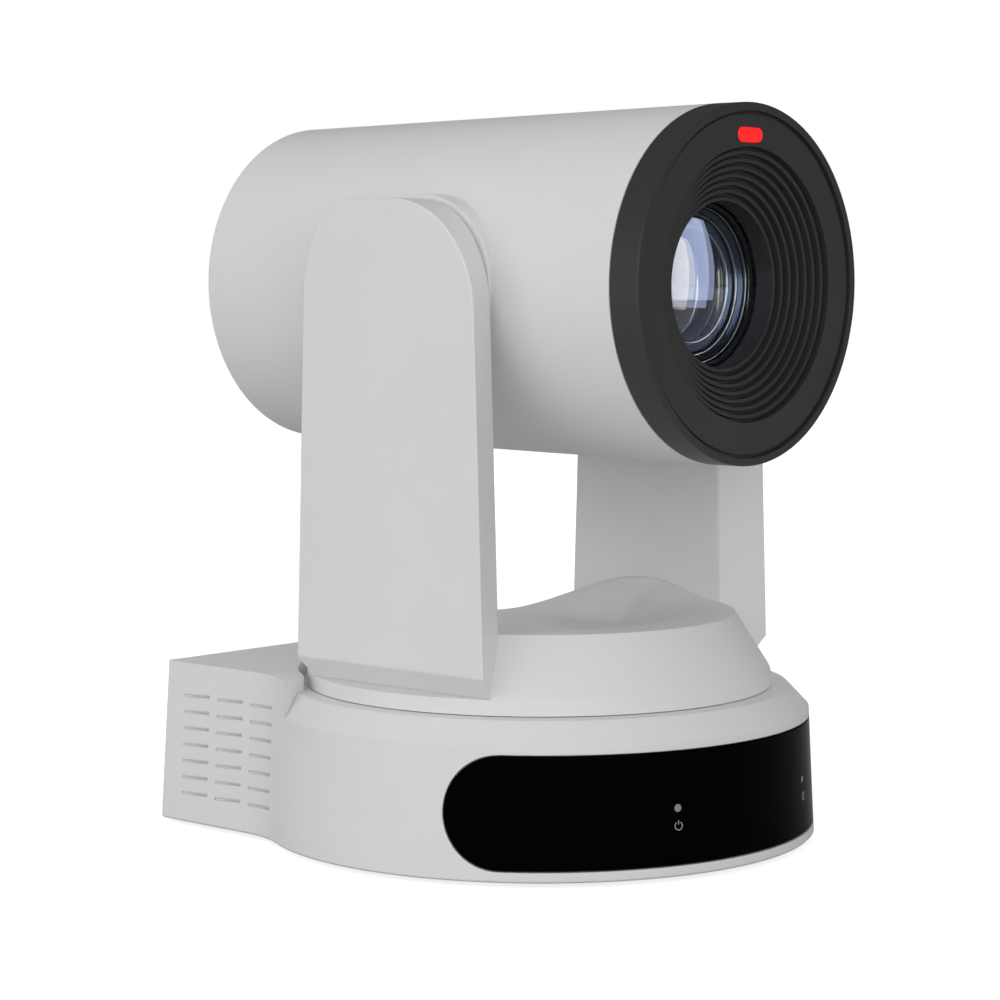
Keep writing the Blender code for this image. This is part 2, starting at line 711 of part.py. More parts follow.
def socket(name, place, size, low, mouth, depth):
    """A connector body at the rear panel with a mouth that opens to the rear."""
    half = size[0] / 2.0
    obj = bare_object(box((place - half, place + half), (SOCKET_FACE - size[1], SOCKET_FACE),
                          (low, low + size[2])), name)
    centre = low + size[2] / 2.0
    cut(obj, box((place - mouth[0] / 2.0, place + mouth[0] / 2.0), (SOCKET_FACE - depth, SOCKET_FACE + 0.01),
                 (centre - mouth[1] / 2.0, centre + mouth[1] / 2.0)))
    return obj


def build_connectors(root, materials):
    low = FOOT_PROUD + BOARD_HEIGHT
    board = bare_object(box((-BOARD_HALF_WIDTH, BOARD_HALF_WIDTH), (BOARD_FRONT, BOARD_REAR),
                            (low, low + BOARD_THICKNESS)), "main_board")
    top = low + BOARD_THICKNESS
    join(board, merged(*[box(x, y, (top - BOARD_THICKNESS / 2.0, top + height))
                         for x, y, height in (COOLER, NETWORK_COIL, POWER_STAGE)]))
    cut(board, merged(*[moved(cylinder(POST_RADIUS + GAP, 0.0, FAR, 12), at(*place))
                        for place in POST_PLACES[2:]]))
    piece(board, materials["board"], root)

    seat = top + GAP
    lan = socket("lan_jack", LAN_PLACE, LAN_SIZE, seat, (LAN_MOUTH[0], LAN_MOUTH[2]), LAN_MOUTH[1])
    piece(lan, materials["steel"], root)

    usb = socket("usb_port", USB_PLACE, USB_SIZE, seat, (0.0129, 0.0053), 0.009)
    middle = seat + USB_SIZE[2] / 2.0
    join(usb, box((USB_PLACE - 0.0055, USB_PLACE + 0.0055), (SOCKET_FACE - 0.0095, SOCKET_FACE - 0.001),
                  (middle + 0.0002, middle + 0.0017)))
    piece(usb, materials["steel"], root)

    hdmi = socket("hdmi_port", HDMI_PLACE, HDMI_SIZE, seat, (0.0138, 0.0045), 0.008)
    middle = seat + HDMI_SIZE[2] / 2.0
    join(hdmi, box((HDMI_PLACE - 0.0052, HDMI_PLACE + 0.0052), (SOCKET_FACE - 0.0085, SOCKET_FACE - 0.001),
                   (middle - 0.0006, middle + 0.0006)))
    piece(hdmi, materials["steel"], root)

    power = bare_object(box((POWER_PLACE - POWER_SIZE[0] / 2.0, POWER_PLACE + POWER_SIZE[0] / 2.0),
                            (SOCKET_FACE - POWER_SIZE[1], SOCKET_FACE), (seat, seat + POWER_SIZE[2])),
                        "power_jack")
    axis = at(POWER_PLACE, SOCKET_FACE, seat + POWER_SIZE[2] / 2.0) @ ALONG_Y
    cut(power, moved(tube(0.00105, 0.0031, -0.009, 0.004, SMALL_SEGMENTS), axis))
    piece(power, materials["black"], root)

    serial = bare_object(box((SERIAL_PLACE - SERIAL_SIZE[0] / 2.0, SERIAL_PLACE + SERIAL_SIZE[0] / 2.0),
                             (SOCKET_FACE - SERIAL_SIZE[1], SOCKET_FACE), (seat, seat + SERIAL_SIZE[2])),
                         "serial_port")
    axis = at(SERIAL_PLACE, SOCKET_FACE, seat + SERIAL_SIZE[2] / 2.0) @ ALONG_Y
    pins = [(math.cos(TURN * i / 8.0) * 0.0023, math.sin(TURN * i / 8.0) * 0.0023) for i in range(8)]
    cut(serial, moved(tube(0.0037, 0.0051, -0.006, 0.004, 16), axis),
        moved(merged(*[moved(cylinder(0.0005, -0.004, 0.004, 5), at(*pin)) for pin in pins]), axis))
    piece(serial, materials["black"], root)

    axis = at(AUDIO_PLACE, SOCKET_FACE, FOOT_PROUD + AUDIO_HEIGHT) @ ALONG_Y
    behind = PANEL_FACE - PANEL_THICKNESS - GAP - SOCKET_FACE
    audio = revolve([(0.0, -0.012), (AUDIO_RADIUS, -0.012), (AUDIO_RADIUS, behind),
                     (AUDIO_NOSE_RADIUS, behind), (AUDIO_NOSE_RADIUS, 0.0), (AUDIO_BORE, 0.0),
                     (AUDIO_BORE, -0.009), (0.0, -0.009)], SMALL_SEGMENTS)
    piece(bare_object(moved(audio, axis), "audio_jack"), materials["black"], root)

    axis = at(SDI_PLACE, 0.0, FOOT_PROUD + SDI_HEIGHT) @ ALONG_Y
    inside = PANEL_FACE - PANEL_THICKNESS - GAP
    sdi = bare_object(moved(revolve([
        (0.0, inside - 0.009), (SDI_FLANGE_RADIUS, inside - 0.009), (SDI_FLANGE_RADIUS, inside),
        (SDI_RADIUS, inside), (SDI_RADIUS, SDI_REACH), (SDI_BORE, SDI_REACH), (SDI_BORE, SDI_REACH - 0.008),
        (0.0019, SDI_REACH - 0.008), (0.0019, SDI_REACH - 0.003), (0.0006, SDI_REACH - 0.003),
        (0.0006, SDI_REACH - 0.006), (0.0, SDI_REACH - 0.006)], 12), axis), "sdi_connector")
    lug = at(SDI_PLACE, SDI_REACH - SDI_LUG_SETBACK, FOOT_PROUD + SDI_HEIGHT)
    start = (SDI_BORE + SDI_RADIUS) / 2.0
    join(sdi, moved(cylinder(SDI_LUG_RADIUS, start, SDI_LUG_REACH, 8), lug),
         moved(cylinder(SDI_LUG_RADIUS, -SDI_LUG_REACH, -start, 8), lug))
    piece(sdi, materials["steel"], root)

    panel = bare_object(box((-PANEL_HALF_WIDTH, PANEL_HALF_WIDTH), (PANEL_FACE - PANEL_THICKNESS, PANEL_FACE),
                            (FOOT_PROUD + PANEL_LOW, FOOT_PROUD + PANEL_HIGH)), "rear_panel")
    holes = [box((place - size[0] / 2.0 - GAP, place + size[0] / 2.0 + GAP), (0.0, FAR),
                 (seat - GAP, seat + size[2] + GAP))
             for place, size in ((LAN_PLACE, LAN_SIZE), (USB_PLACE, USB_SIZE), (HDMI_PLACE, HDMI_SIZE),
                                 (POWER_PLACE, POWER_SIZE), (SERIAL_PLACE, SERIAL_SIZE))]
    holes.append(moved(cylinder(SDI_RADIUS + 2.0 * GAP, 0.0, FAR, SMALL_SEGMENTS),
                       at(SDI_PLACE, 0.0, FOOT_PROUD + SDI_HEIGHT) @ ALONG_Y))
    holes.append(moved(cylinder(AUDIO_NOSE_RADIUS + GAP, 0.0, FAR, SMALL_SEGMENTS),
                       at(AUDIO_PLACE, 0.0, FOOT_PROUD + AUDIO_HEIGHT) @ ALONG_Y))
    cut(panel, merged(*holes))
    piece(panel, materials["panel"], root)


def build_pan_drive(root, turntable, pulley_body, materials):
    place = at(*PAN_MOTOR_PLACE)
    low = FOOT_PROUD + PLATE_RECESS + PLATE_THICKNESS + GAP
    top = FOOT_PROUD + PAN_MOTOR_HEIGHT
    pulley_low = FOOT_PROUD + PAN_PULLEY_HEIGHT
    motor = [(0.0, low), (PAN_MOTOR_RADIUS, low), (PAN_MOTOR_RADIUS, top), (0.004, top),
             (0.004, top + 0.0015), (MOTOR_SHAFT_RADIUS, top + 0.0015),
             (MOTOR_SHAFT_RADIUS, pulley_low + PULLEY_WIDTH + 0.002),
             (0.0, pulley_low + PULLEY_WIDTH + 0.002)]
    piece(bare_object(moved(revolve(motor, 16), place), "pan_motor"), materials["steel"], root)

    high = pulley_low + PULLEY_WIDTH
    outline = pulley_outline(PAN_MOTOR_PULLEY_TEETH, PAN_MOTOR_PULLEY_RADIUS)
    small = bare_object(prism(outline, pulley_low, high), "pan_motor_pulley")
    cut(small, cylinder(MOTOR_SHAFT_RADIUS + GAP, 0.0, FAR, 12))
    small.data.transform(place)
    piece(small, materials["brass"], pulley_body)

    large = bare_object(prism(pulley_outline(PAN_PULLEY_TEETH, PAN_PULLEY_RADIUS), pulley_low, high),
                        "pan_pulley")
    cut(large, cylinder(SHAFT_RADIUS + GAP, 0.0, FAR))
    piece(large, materials["black"], turntable)

    inner = belt_outline(PAN_PULLEY_RADIUS + GAP, PAN_MOTOR_PULLEY_RADIUS + GAP, PAN_MOTOR_PLACE)
    outer = belt_outline(PAN_PULLEY_RADIUS + GAP + BELT_THICKNESS,
                         PAN_MOTOR_PULLEY_RADIUS + GAP + BELT_THICKNESS, PAN_MOTOR_PLACE)
    edge = pulley_low + (PULLEY_WIDTH - BELT_WIDTH) / 2.0
    belt = bare_object(prism(outer, edge, edge + BELT_WIDTH), "pan_belt")
    cut(belt, prism(inner, edge - 0.001, edge + BELT_WIDTH + 0.001))
    piece(belt, materials["rubber"], root)

    seat = FOOT_PROUD + ROOF_HEIGHT - SEAT_DEPTH - GAP
    ring = tube(SHAFT_RADIUS + GAP, BEARING_RADIUS, seat - BEARING_WIDTH, seat)
    piece(bare_object(ring, "pan_bearing"), materials["steel"], root)

    flange = FOOT_PROUD + SHOULDER_HEIGHT + GAP
    plate = flange + SHAFT_FLANGE_WIDTH + GAP
    shaft = [(SHAFT_BORE, pulley_low - 0.002), (SHAFT_RADIUS, pulley_low - 0.002), (SHAFT_RADIUS, flange),
             (SHAFT_FLANGE_RADIUS, flange), (SHAFT_FLANGE_RADIUS, flange + SHAFT_FLANGE_WIDTH),
             (SHAFT_BORE, flange + SHAFT_FLANGE_WIDTH)]
    piece(bare_object(revolve(shaft, MEDIUM_SEGMENTS), "pan_shaft"), materials["steel"], turntable)
    piece(bare_object(tube(SHAFT_BORE, PAN_PLATE_RADIUS, plate, plate + SHEET, 28), "pan_plate"),
          materials["sheet"], turntable)
    return plate + SHEET + GAP


# Turntable and arms


def valley_floor(y):
    """Height of the scoop that clears the rear of the head as it tilts."""
    if y >= 0.0:
        return VALLEY_HEIGHT
    return min(DECK_HEIGHT, TILT_HEIGHT - math.sqrt((HEAD_SWING + SWEEP_CLEARANCE) ** 2 - y ** 2))


def hump_ridge(y):
    """Height of the deck beside an arm: it swells from the front deck and runs down to the rear."""
    if y < HUMP_PEAK:
        foot, reach = DECK_HEIGHT, HUMP_FRONT_REACH
    else:
        foot, reach = valley_floor(y), HUMP_REAR_REACH
    fall = min(1.0, abs(y - HUMP_PEAK) / reach)
    return foot + (HUMP_HEIGHT - foot) * (1.0 + math.cos(math.pi * fall)) / 2.0


def deck_cutter():
    """Everything above the turntable deck: a valley between two humps that meet the arms."""
    share = (0.0, 0.2, 0.4, 0.6, 0.8, 1.0)
    span = ARM_INNER_FACE - VALLEY_HALF_WIDTH
    columns = [VALLEY_HALF_WIDTH + span * part for part in share] + [RIM_RADIUS + 0.015]
    columns = [-x for x in columns[::-1]] + columns
    reach = RIM_RADIUS + 0.002
    bm = bmesh.new()
    low, high = [], []
    for row in range(DECK_ROWS + 1):
        y = reach * (2.0 * row / DECK_ROWS - 1.0)
        floor = valley_floor(y)
        low_row, high_row = [], []
        for x in columns:
            part = min(1.0, max(0.0, (abs(x) - VALLEY_HALF_WIDTH) / span))
            rise = part * part * (3.0 - 2.0 * part)
            level = FOOT_PROUD + floor + (hump_ridge(y) - floor) * rise
            low_row.append(bm.verts.new((x, y, level)))
            high_row.append(bm.verts.new((x, y, FAR)))
        low.append(low_row)
        high.append(high_row)
    last_row, last_column = len(low) - 1, len(columns) - 1
    for i in range(last_row):
        for j in range(last_column):
            bm.faces.new((low[i][j], low[i + 1][j], low[i + 1][j + 1], low[i][j + 1]))
            bm.faces.new((high[i][j], high[i][j + 1], high[i + 1][j + 1], high[i + 1][j]))
    for i in range(last_row):
        for j in (0, last_column):
            bm.faces.new((low[i][j], low[i + 1][j], high[i + 1][j], high[i][j]))
    for j in range(last_column):
        for i in (0, last_row):
            bm.faces.new((low[i][j], low[i][j + 1], high[i][j + 1], high[i][j]))
    bmesh.ops.triangulate(bm, faces=bm.faces)
    return bm


def build_turntable(turntable, yoke_low, materials):
    """The round cover that turns: rim, cone, scooped deck, arm pockets and hollow underside."""
    low = FOOT_PROUD + SHOULDER_HEIGHT + GAP
    rim = FOOT_PROUD + RIM_HEIGHT
    slope = (RIM_RADIUS - DECK_RADIUS) / (DECK_HEIGHT - RIM_HEIGHT)
    summit = FOOT_PROUD + SUMMIT_HEIGHT
    cover = bare_object(revolve([(0.0, low), (RIM_RADIUS, low), (RIM_RADIUS, rim),
                                 (RIM_RADIUS - slope * (summit - rim), summit), (0.0, summit)],
                                LARGE_SEGMENTS), "turntable_cover")
    cut(cover, deck_cutter())
    roof = yoke_low + SHEET + GAP
    cut(cover, cylinder(TURNTABLE_CAVITY_RADIUS, low - 0.001, roof, 24))
    for side in (-1, 1):
        cut(cover, arm_solid(side, ((ARM_INNER_FACE - GAP, -GAP), (RIM_RADIUS + 0.003, -GAP)), RIM_HEIGHT))
        slot = sorted((side * (YOKE_FOOT_REACH + 0.006), side * (YOKE_FACE + SHEET + GAP)))
        cut(cover, box(slot, (-YOKE_HALF_WIDTH - GAP, YOKE_HALF_WIDTH + GAP), (yoke_low - GAP, roof)))
    piece(cover, materials["shell"], turntable, 25.0)


def foot_wedge(side, bottom, rise):
    """What lies outside the sloping underside of an arm, raised by a rise."""
    slope = FOOT_CHAMFER_HEIGHT / FOOT_CHAMFER_WIDTH
    start = ARM_OUTER_FACE - FOOT_CHAMFER_WIDTH
    level = FOOT_PROUD + bottom + rise
    reach = 2.0 * FOOT_CHAMFER_WIDTH
    corners = [(start - reach, level - reach * slope), (start + reach, level + reach * slope),
               (start + reach, level - reach * slope)]
    return loft([[(side * x, y, z) for x, z in corners] for y in (-FAR, FAR)])


def build_arms(turntable, yoke_low, materials):
    bottom = RIM_HEIGHT + GAP
    for side, name in ((-1, "left"), (1, "right")):
        cover = bare_object(arm_solid(side, ((ARM_INNER_FACE, 0.0), (ARM_OUTER_FACE - ARM_EDGE, 0.0),
                                             (ARM_OUTER_FACE, ARM_EDGE)), bottom), name + "_arm_cover")
        faces = ((ARM_INNER_FACE - 0.002, ARM_WALL), (ARM_OUTER_FACE - ARM_WALL, ARM_WALL))
        hollow = bare_object(arm_solid(side, faces, bottom - 0.01), "hollow")
        cut(hollow, foot_wedge(side, bottom, 1.5 * ARM_WALL))
        combine(cover, bm_of(hollow), "DIFFERENCE")
        cut(cover, foot_wedge(side, bottom, 0.0))
        piece(cover, materials["shell"], turntable)

        face = ARM_INNER_FACE + ARM_PLATE_INSET
        faces = ((face, ARM_WALL + GAP), (face + ARM_PLATE_THICKNESS, ARM_WALL + GAP))
        plate = bare_object(arm_solid(side, faces, bottom + ARM_PLATE_RISE), name + "_arm_plate")
        axis = at(0.0, 0.0, TILT_AXIS_Z) @ ALONG_X
        cut(plate, moved(cylinder(TILT_SHAFT_RADIUS + GAP, -FAR, FAR), axis))
        piece(plate, materials["shell"], turntable)

        build_yoke(side, name, turntable, yoke_low, materials)


def build_yoke(side, name, turntable, yoke_low, materials):
    """A bent steel upright inside each arm, with the fixed shaft that the head tilts on."""
    axis = at(0.0, 0.0, TILT_AXIS_Z) @ ALONG_X
    outline = [(YOKE_HALF_WIDTH, yoke_low)]
    outline += [(y, TILT_AXIS_Z + z) for y, z in arc((0.0, 0.0), YOKE_HEAD_RADIUS, 0.0, math.pi, 14)]
    outline.append((-YOKE_HALF_WIDTH, yoke_low))
    faces = sorted((side * YOKE_FACE, side * (YOKE_FACE + SHEET)))
    yoke = bare_object(loft([[(x, y, z) for y, z in outline] for x in faces]), name + "_yoke")
    foot = sorted((side * YOKE_FOOT_REACH, side * (YOKE_FACE + SHEET / 2.0)))
    join(yoke, box(foot, (-YOKE_HALF_WIDTH, YOKE_HALF_WIDTH), (yoke_low, yoke_low + SHEET)))
    cut(yoke, moved(cylinder(TILT_SHAFT_RADIUS + GAP, -FAR, FAR), axis))
    piece(yoke, materials["sheet"], turntable)

    stop = YOKE_FACE + SHEET + GAP
    shaft = revolve([(TILT_SHAFT_BORE, TILT_SHAFT_REACH), (TILT_SHAFT_RADIUS, TILT_SHAFT_REACH),
                     (TILT_SHAFT_RADIUS, stop), (TILT_BUSH_RADIUS, stop), (TILT_BUSH_RADIUS, stop + 0.0018),
                     (TILT_SHAFT_BORE, stop + 0.0018)], SMALL_SEGMENTS + 4)
    mirror = Matrix.Scale(side, 4, (1.0, 0.0, 0.0))
    piece(bare_object(moved(shaft, mirror @ axis), name + "_tilt_shaft"), materials["steel"], turntable)


# Head


def gear_solid(teeth, phase):
    """A straight flanked gear from the pitch radius, with play between the teeth."""
    pitch = GEAR_MODULE * teeth / 2.0
    thick = math.pi * GEAR_MODULE / 2.0 - TOOTH_BACKLASH
    lean = 2.0 * math.tan(math.radians(20.0))
    outline = toothed_outline(teeth, pitch + TOOTH_HEIGHT, pitch - TOOTH_DEPTH, thick - lean * TOOTH_HEIGHT,
                              thick + lean * TOOTH_DEPTH * 0.55, phase)
    return prism(outline, 0.0, GEAR_WIDTH)


def build_tilt_drive(turntable, head, pinion_body, materials):
    """A gear fixed to the right shaft, and a motor in the head whose pinion walks round it."""
    axis = at(GEAR_FACE, 0.0, TILT_AXIS_Z) @ ALONG_X
    gear = bare_object(gear_solid(GEAR_TEETH, math.pi / 2.0), "tilt_gear")
    cut(gear, cylinder(TILT_SHAFT_RADIUS + GAP, -0.01, 0.02))
    gear.data.transform(axis)
    piece(gear, materials["nylon"], turntable)

    reach = pinion_reach()
    off = at(GEAR_FACE, reach, TILT_AXIS_Z) @ ALONG_X
    pinion = bare_object(gear_solid(PINION_TEETH, math.pi / 2.0 + math.pi / PINION_TEETH), "tilt_pinion")
    cut(pinion, cylinder(MOTOR_SHAFT_RADIUS, -FAR, FAR, 12))
    pinion.data.transform(off)
    piece(pinion, materials["brass"], pinion_body)

    back = SIDE_PLATE_FACE - GAP - GEAR_FACE
    shaft = MOTOR_SHAFT_RADIUS - GAP
    motor = revolve([(0.0, back - TILT_MOTOR_LENGTH), (TILT_MOTOR_RADIUS, back - TILT_MOTOR_LENGTH),
                     (TILT_MOTOR_RADIUS, back), (shaft, back), (shaft, GEAR_WIDTH), (0.0, GEAR_WIDTH)], 20)
    piece(bare_object(moved(motor, off), "tilt_motor"), materials["steel"], head)


def pinion_reach():
    return GEAR_MODULE * (GEAR_TEETH + PINION_TEETH) / 2.0


def shell_radius(y):
    """Outer radius of the head, which narrows to the rear."""
    front = HEAD_FRONT + BEZEL_DEPTH
    return BEZEL_RADIUS + (HEAD_REAR_RADIUS - BEZEL_RADIUS) * (y - front) / (HEAD_REAR - front)


def build_head(head, materials):
    axis = at(0.0, 0.0, TILT_AXIS_Z) @ ALONG_Y
    across = at(0.0, 0.0, TILT_AXIS_Z) @ ALONG_X
    front = HEAD_FRONT + BEZEL_DEPTH + GAP
    shell = bare_object(moved(revolve([(0.0, front), (shell_radius(front), front),
                                       (HEAD_REAR_RADIUS, HEAD_REAR), (0.0, HEAD_REAR)],
                                      LARGE_SEGMENTS), axis), "head_shell")
    join(shell, moved(cylinder(COLLAR_RADIUS, -COLLAR_FACE, COLLAR_FACE, 32), across))
    inside = HEAD_REAR_RADIUS / 2.0
    cut(shell, moved(merged(cylinder(TILT_BUSH_RADIUS + GAP, -FAR, -inside),
                            cylinder(TILT_BUSH_RADIUS + GAP, inside, FAR)), across))
    bore = HEAD_WALL
    cut(shell, moved(revolve([(0.0, front - 0.002), (shell_radius(front - 0.002) - bore, front - 0.002),
                              (HEAD_REAR_RADIUS - bore, HEAD_REAR + 0.002), (0.0, HEAD_REAR + 0.002)],
                             LARGE_SEGMENTS), axis))
    piece(shell, materials["shell"], head)

    cap_face = HEAD_REAR - REAR_CAP_INSET
    cap_radius = HEAD_REAR_RADIUS - HEAD_WALL - GAP
    cap = revolve([(0.0, cap_face - 0.002), (cap_radius, cap_face - 0.002), (cap_radius, cap_face - 0.0004),
                   (cap_radius - 0.0004, cap_face), (0.0, cap_face)], LARGE_SEGMENTS)
    piece(bare_object(moved(cap, axis), "rear_cap"), materials["shell"], head)

    for side, name in ((-1, "left"), (1, "right")):
        mirror = Matrix.Scale(side, 4, (1.0, 0.0, 0.0))
        wall = shell_radius(0.0) - HEAD_WALL
        bush = tube(TILT_SHAFT_RADIUS + GAP, TILT_BUSH_RADIUS, wall - 0.0014, COLLAR_FACE - GAP,
                    SMALL_SEGMENTS + 4)
        piece(bare_object(moved(bush, mirror @ across), name + "_tilt_bush"), materials["nylon"], head)
        faces = sorted((side * SIDE_PLATE_FACE, side * (SIDE_PLATE_FACE + SIDE_PLATE_THICKNESS)))
        half = math.sqrt((shell_radius(SIDE_PLATE_REAR) - HEAD_WALL - 0.0004) ** 2
                         - (SIDE_PLATE_FACE + SIDE_PLATE_THICKNESS) ** 2)
        plate = bare_object(box(faces, (SIDE_PLATE_FRONT, SIDE_PLATE_REAR),
                                (TILT_AXIS_Z - half, TILT_AXIS_Z + half)), name + "_side_plate")
        if side > 0:
            cut(plate, moved(cylinder(MOTOR_SHAFT_RADIUS, 0.0, FAR, 12), at(0.0, pinion_reach()) @ across))
        piece(plate, materials["sheet"], head)


def build_bezel(head, materials):
    """The black front ring: raised rim, sunk face, stepped baffle, bore and rear spigot."""
    axis = at(0.0, 0.0, TILT_AXIS_Z) @ ALONG_Y
    face = HEAD_FRONT + BEZEL_FACE_RECESS
    back = HEAD_FRONT + BEZEL_DEPTH
    spigot = shell_radius(back + 0.005) - HEAD_WALL - GAP
    radius, depth = BAFFLE_RADIUS, face
    profile = [(BEZEL_RADIUS - BEZEL_RIM_WIDTH, face), (radius, depth)]
    for _ in range(BAFFLE_STEPS):
        depth += BAFFLE_STEP_DEPTH
        profile.append((radius, depth))
        radius -= BAFFLE_STEP_WIDTH
        profile.append((radius, depth))
    profile += [(radius, BARREL_FRONT + 0.003), (radius + 0.002, BARREL_FRONT + 0.003),
                (radius + 0.002, depth + 0.0022), (BAFFLE_RADIUS + 0.001, face + 0.0028),
                (spigot - 0.002, face + 0.0028), (spigot - 0.002, back + 0.005), (spigot, back + 0.005),
                (spigot, back), (BEZEL_RADIUS, back), (BEZEL_RADIUS, HEAD_FRONT + 0.0003),
                (BEZEL_RADIUS - 0.0003, HEAD_FRONT), (BEZEL_RADIUS - BEZEL_RIM_WIDTH, HEAD_FRONT)]
    bezel = bare_object(moved(revolve(profile, BEZEL_SEGMENTS), axis), "front_bezel")
    tally = at(0.0, 0.0, TILT_AXIS_Z + TALLY_HEIGHT) @ ALONG_Y
    sunk = face + 0.0016
    pocket = stadium(TALLY_LENGTH + 2.0 * GAP, TALLY_WIDTH + 2.0 * GAP)
    cut(bezel, moved(prism(pocket, face - 0.005, sunk), tally))
    piece(bezel, materials["bezel"], head)
    lamp = prism(stadium(TALLY_LENGTH, TALLY_WIDTH), face - 0.0002, sunk - GAP)
    piece(bare_object(moved(lamp, tally), "tally_light"), materials["tally"], head)


def lens_group(front, bulge):
    """A carriage disc with its glass domed to the front and two guide holes."""
    dome = [(0.0, front - bulge)]
    for i in range(1, 4):
        turn = math.pi / 2.0 * i / 3
        dome.append((GROUP_GLASS_RADIUS * math.sin(turn), front - bulge * math.cos(turn)))
    back = front + GROUP_LENGTH
    return revolve(dome + [(GROUP_RADIUS, front), (GROUP_RADIUS, back), (0.0, back)], MEDIUM_SEGMENTS)


def build_lens(head, zoom, focus, materials):
    axis = at(0.0, 0.0, TILT_AXIS_Z) @ ALONG_Y
    nose = BARREL_BORE + 0.0006
    shoulder = BARREL_FRONT + 0.0037
    barrel = revolve([(BARREL_BORE, BARREL_FRONT), (nose, BARREL_FRONT), (nose, shoulder),
                      (BARREL_RADIUS, shoulder), (BARREL_RADIUS, BARREL_REAR), (BARREL_BORE, BARREL_REAR)],
                     24)
    piece(bare_object(moved(barrel, axis), "lens_barrel"), materials["black"], head)

    bend = (GLASS_RADIUS ** 2 + GLASS_SAG ** 2) / (2.0 * GLASS_SAG)
    spread = math.asin(GLASS_RADIUS / bend)
    centre = GLASS_RIM - GLASS_SAG + bend
    profile = [(bend * math.sin(spread * i / 5), centre - bend * math.cos(spread * i / 5)) for i in range(6)]
    profile += [(GLASS_RADIUS, GLASS_RIM + 0.0034), (0.0, GLASS_RIM + 0.0030)]
    piece(bare_object(moved(revolve(profile, 24), axis), "front_lens"), materials["glass"], head)

    rods = [at(0.0, side * GUIDE_PLACE) for side in (-1, 1)]
    for name, front, bulge, parent in (("zoom_group", ZOOM_PLACE, 0.003, zoom),
                                       ("focus_group", FOCUS_PLACE, 0.002, focus)):
        group = bare_object(lens_group(front, bulge), name)
        cut(group, merged(*[moved(cylinder(GUIDE_RADIUS + GAP, -FAR, FAR, 10), rod) for rod in rods]))
        group.data.transform(axis)
        piece(group, materials["glass"], parent)
    for name, rod in zip(("upper_guide_rod", "lower_guide_rod"), rods):
        solid = moved(cylinder(GUIDE_RADIUS, GUIDE_FRONT, BARREL_REAR - GAP, 10), axis @ rod)
        piece(bare_object(solid, name), materials["steel"], head)

    start = BARREL_REAR + GAP
    end = start + SENSOR_HOUSING_LENGTH
    half = SENSOR_HALF_WIDTH
    housing = bare_object(box((-half, half), (start, end), (TILT_AXIS_Z - half, TILT_AXIS_Z + half)),
                          "sensor_housing")
    cut(housing, moved(cylinder(GROUP_GLASS_RADIUS, 0.0, FAR, 24), axis))
    piece(housing, materials["black"], head)
    board = bare_object(box((-half, half), (end + GAP, end + GAP + BOARD_THICKNESS),
                            (TILT_AXIS_Z - half, TILT_AXIS_Z + half)), "sensor_board")
    join(board, box((-0.006, 0.006), (end - 0.0015, end + GAP + 0.0005),
                    (TILT_AXIS_Z - 0.005, TILT_AXIS_Z + 0.005)))
    piece(board, materials["board"], head)


def main():
    clear_scene()
    materials = {
        "shell": make_material("pale_plastic", (0.72, 0.72, 0.71), 0.45),
        "window": make_material("black_window", (0.006, 0.006, 0.007), 0.08),
        "bezel": make_material("black_bezel", (0.03, 0.03, 0.031), 0.55),
        "light": make_material("light_pipe", (0.35, 0.36, 0.37), 0.35),
        "tally": make_material("tally_red", (0.8, 0.03, 0.03), 0.3),
        "glass": make_material("lens_glass", (0.85, 0.88, 0.95), 0.02, transmission=1.0),
        "sheet": make_material("zinc_sheet", (0.62, 0.63, 0.64), 0.38, 1.0),
        "steel": make_material("nickel_steel", (0.66, 0.65, 0.63), 0.3, 1.0),
        "brass": make_material("brass", (0.78, 0.58, 0.28), 0.3, 1.0),
        "rubber": make_material("black_rubber", (0.025, 0.025, 0.025), 0.85),
        "black": make_material("black_plastic", (0.02, 0.02, 0.02), 0.5),
        "nylon": make_material("white_nylon", (0.75, 0.73, 0.68), 0.5),
        "board": make_material("circuit_board", (0.02, 0.12, 0.05), 0.5),
        "panel": make_material("dark_panel", (0.06, 0.06, 0.063), 0.5),
    }
    root = bpy.data.objects.new("camera_root", None)
    bpy.context.scene.collection.objects.link(root)
    root.location = (0.0, PIVOT_Y, 0.0)
    turntable = body("pan_axis", root, (0.0, 0.0, FOOT_PROUD + SHOULDER_HEIGHT))
    pulley = body("pan_pulley_axis", root, (*PAN_MOTOR_PLACE, FOOT_PROUD + PAN_PULLEY_HEIGHT))
    head = body("tilt_axis", turntable, (0.0, 0.0, TILT_AXIS_Z))
    pinion = body("tilt_pinion_axis", head, (GEAR_FACE, pinion_reach(), TILT_AXIS_Z))
    zoom = body("zoom_axis", head, (0.0, ZOOM_PLACE, TILT_AXIS_Z))
    focus = body("focus_axis", head, (0.0, FOCUS_PLACE, TILT_AXIS_Z))

    build_housing(root, materials)
    build_window(root, materials)
    build_base_plate(root, materials)
    build_connectors(root, materials)
    yoke_low = build_pan_drive(root, turntable, pulley, materials)
    build_turntable(turntable, yoke_low, materials)
    build_arms(turntable, yoke_low, materials)
    build_tilt_drive(turntable, head, pinion, materials)
    build_head(head, materials)
    build_bezel(head, materials)
    build_lens(head, zoom, focus, materials)


main()
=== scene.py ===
"""Dresses the desk pan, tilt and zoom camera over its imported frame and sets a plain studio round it."""

import json
import math
from functools import partial

import bmesh
import bpy
from bpy.props import FloatProperty, FloatVectorProperty, IntProperty, PointerProperty
from mathutils import Matrix, Vector


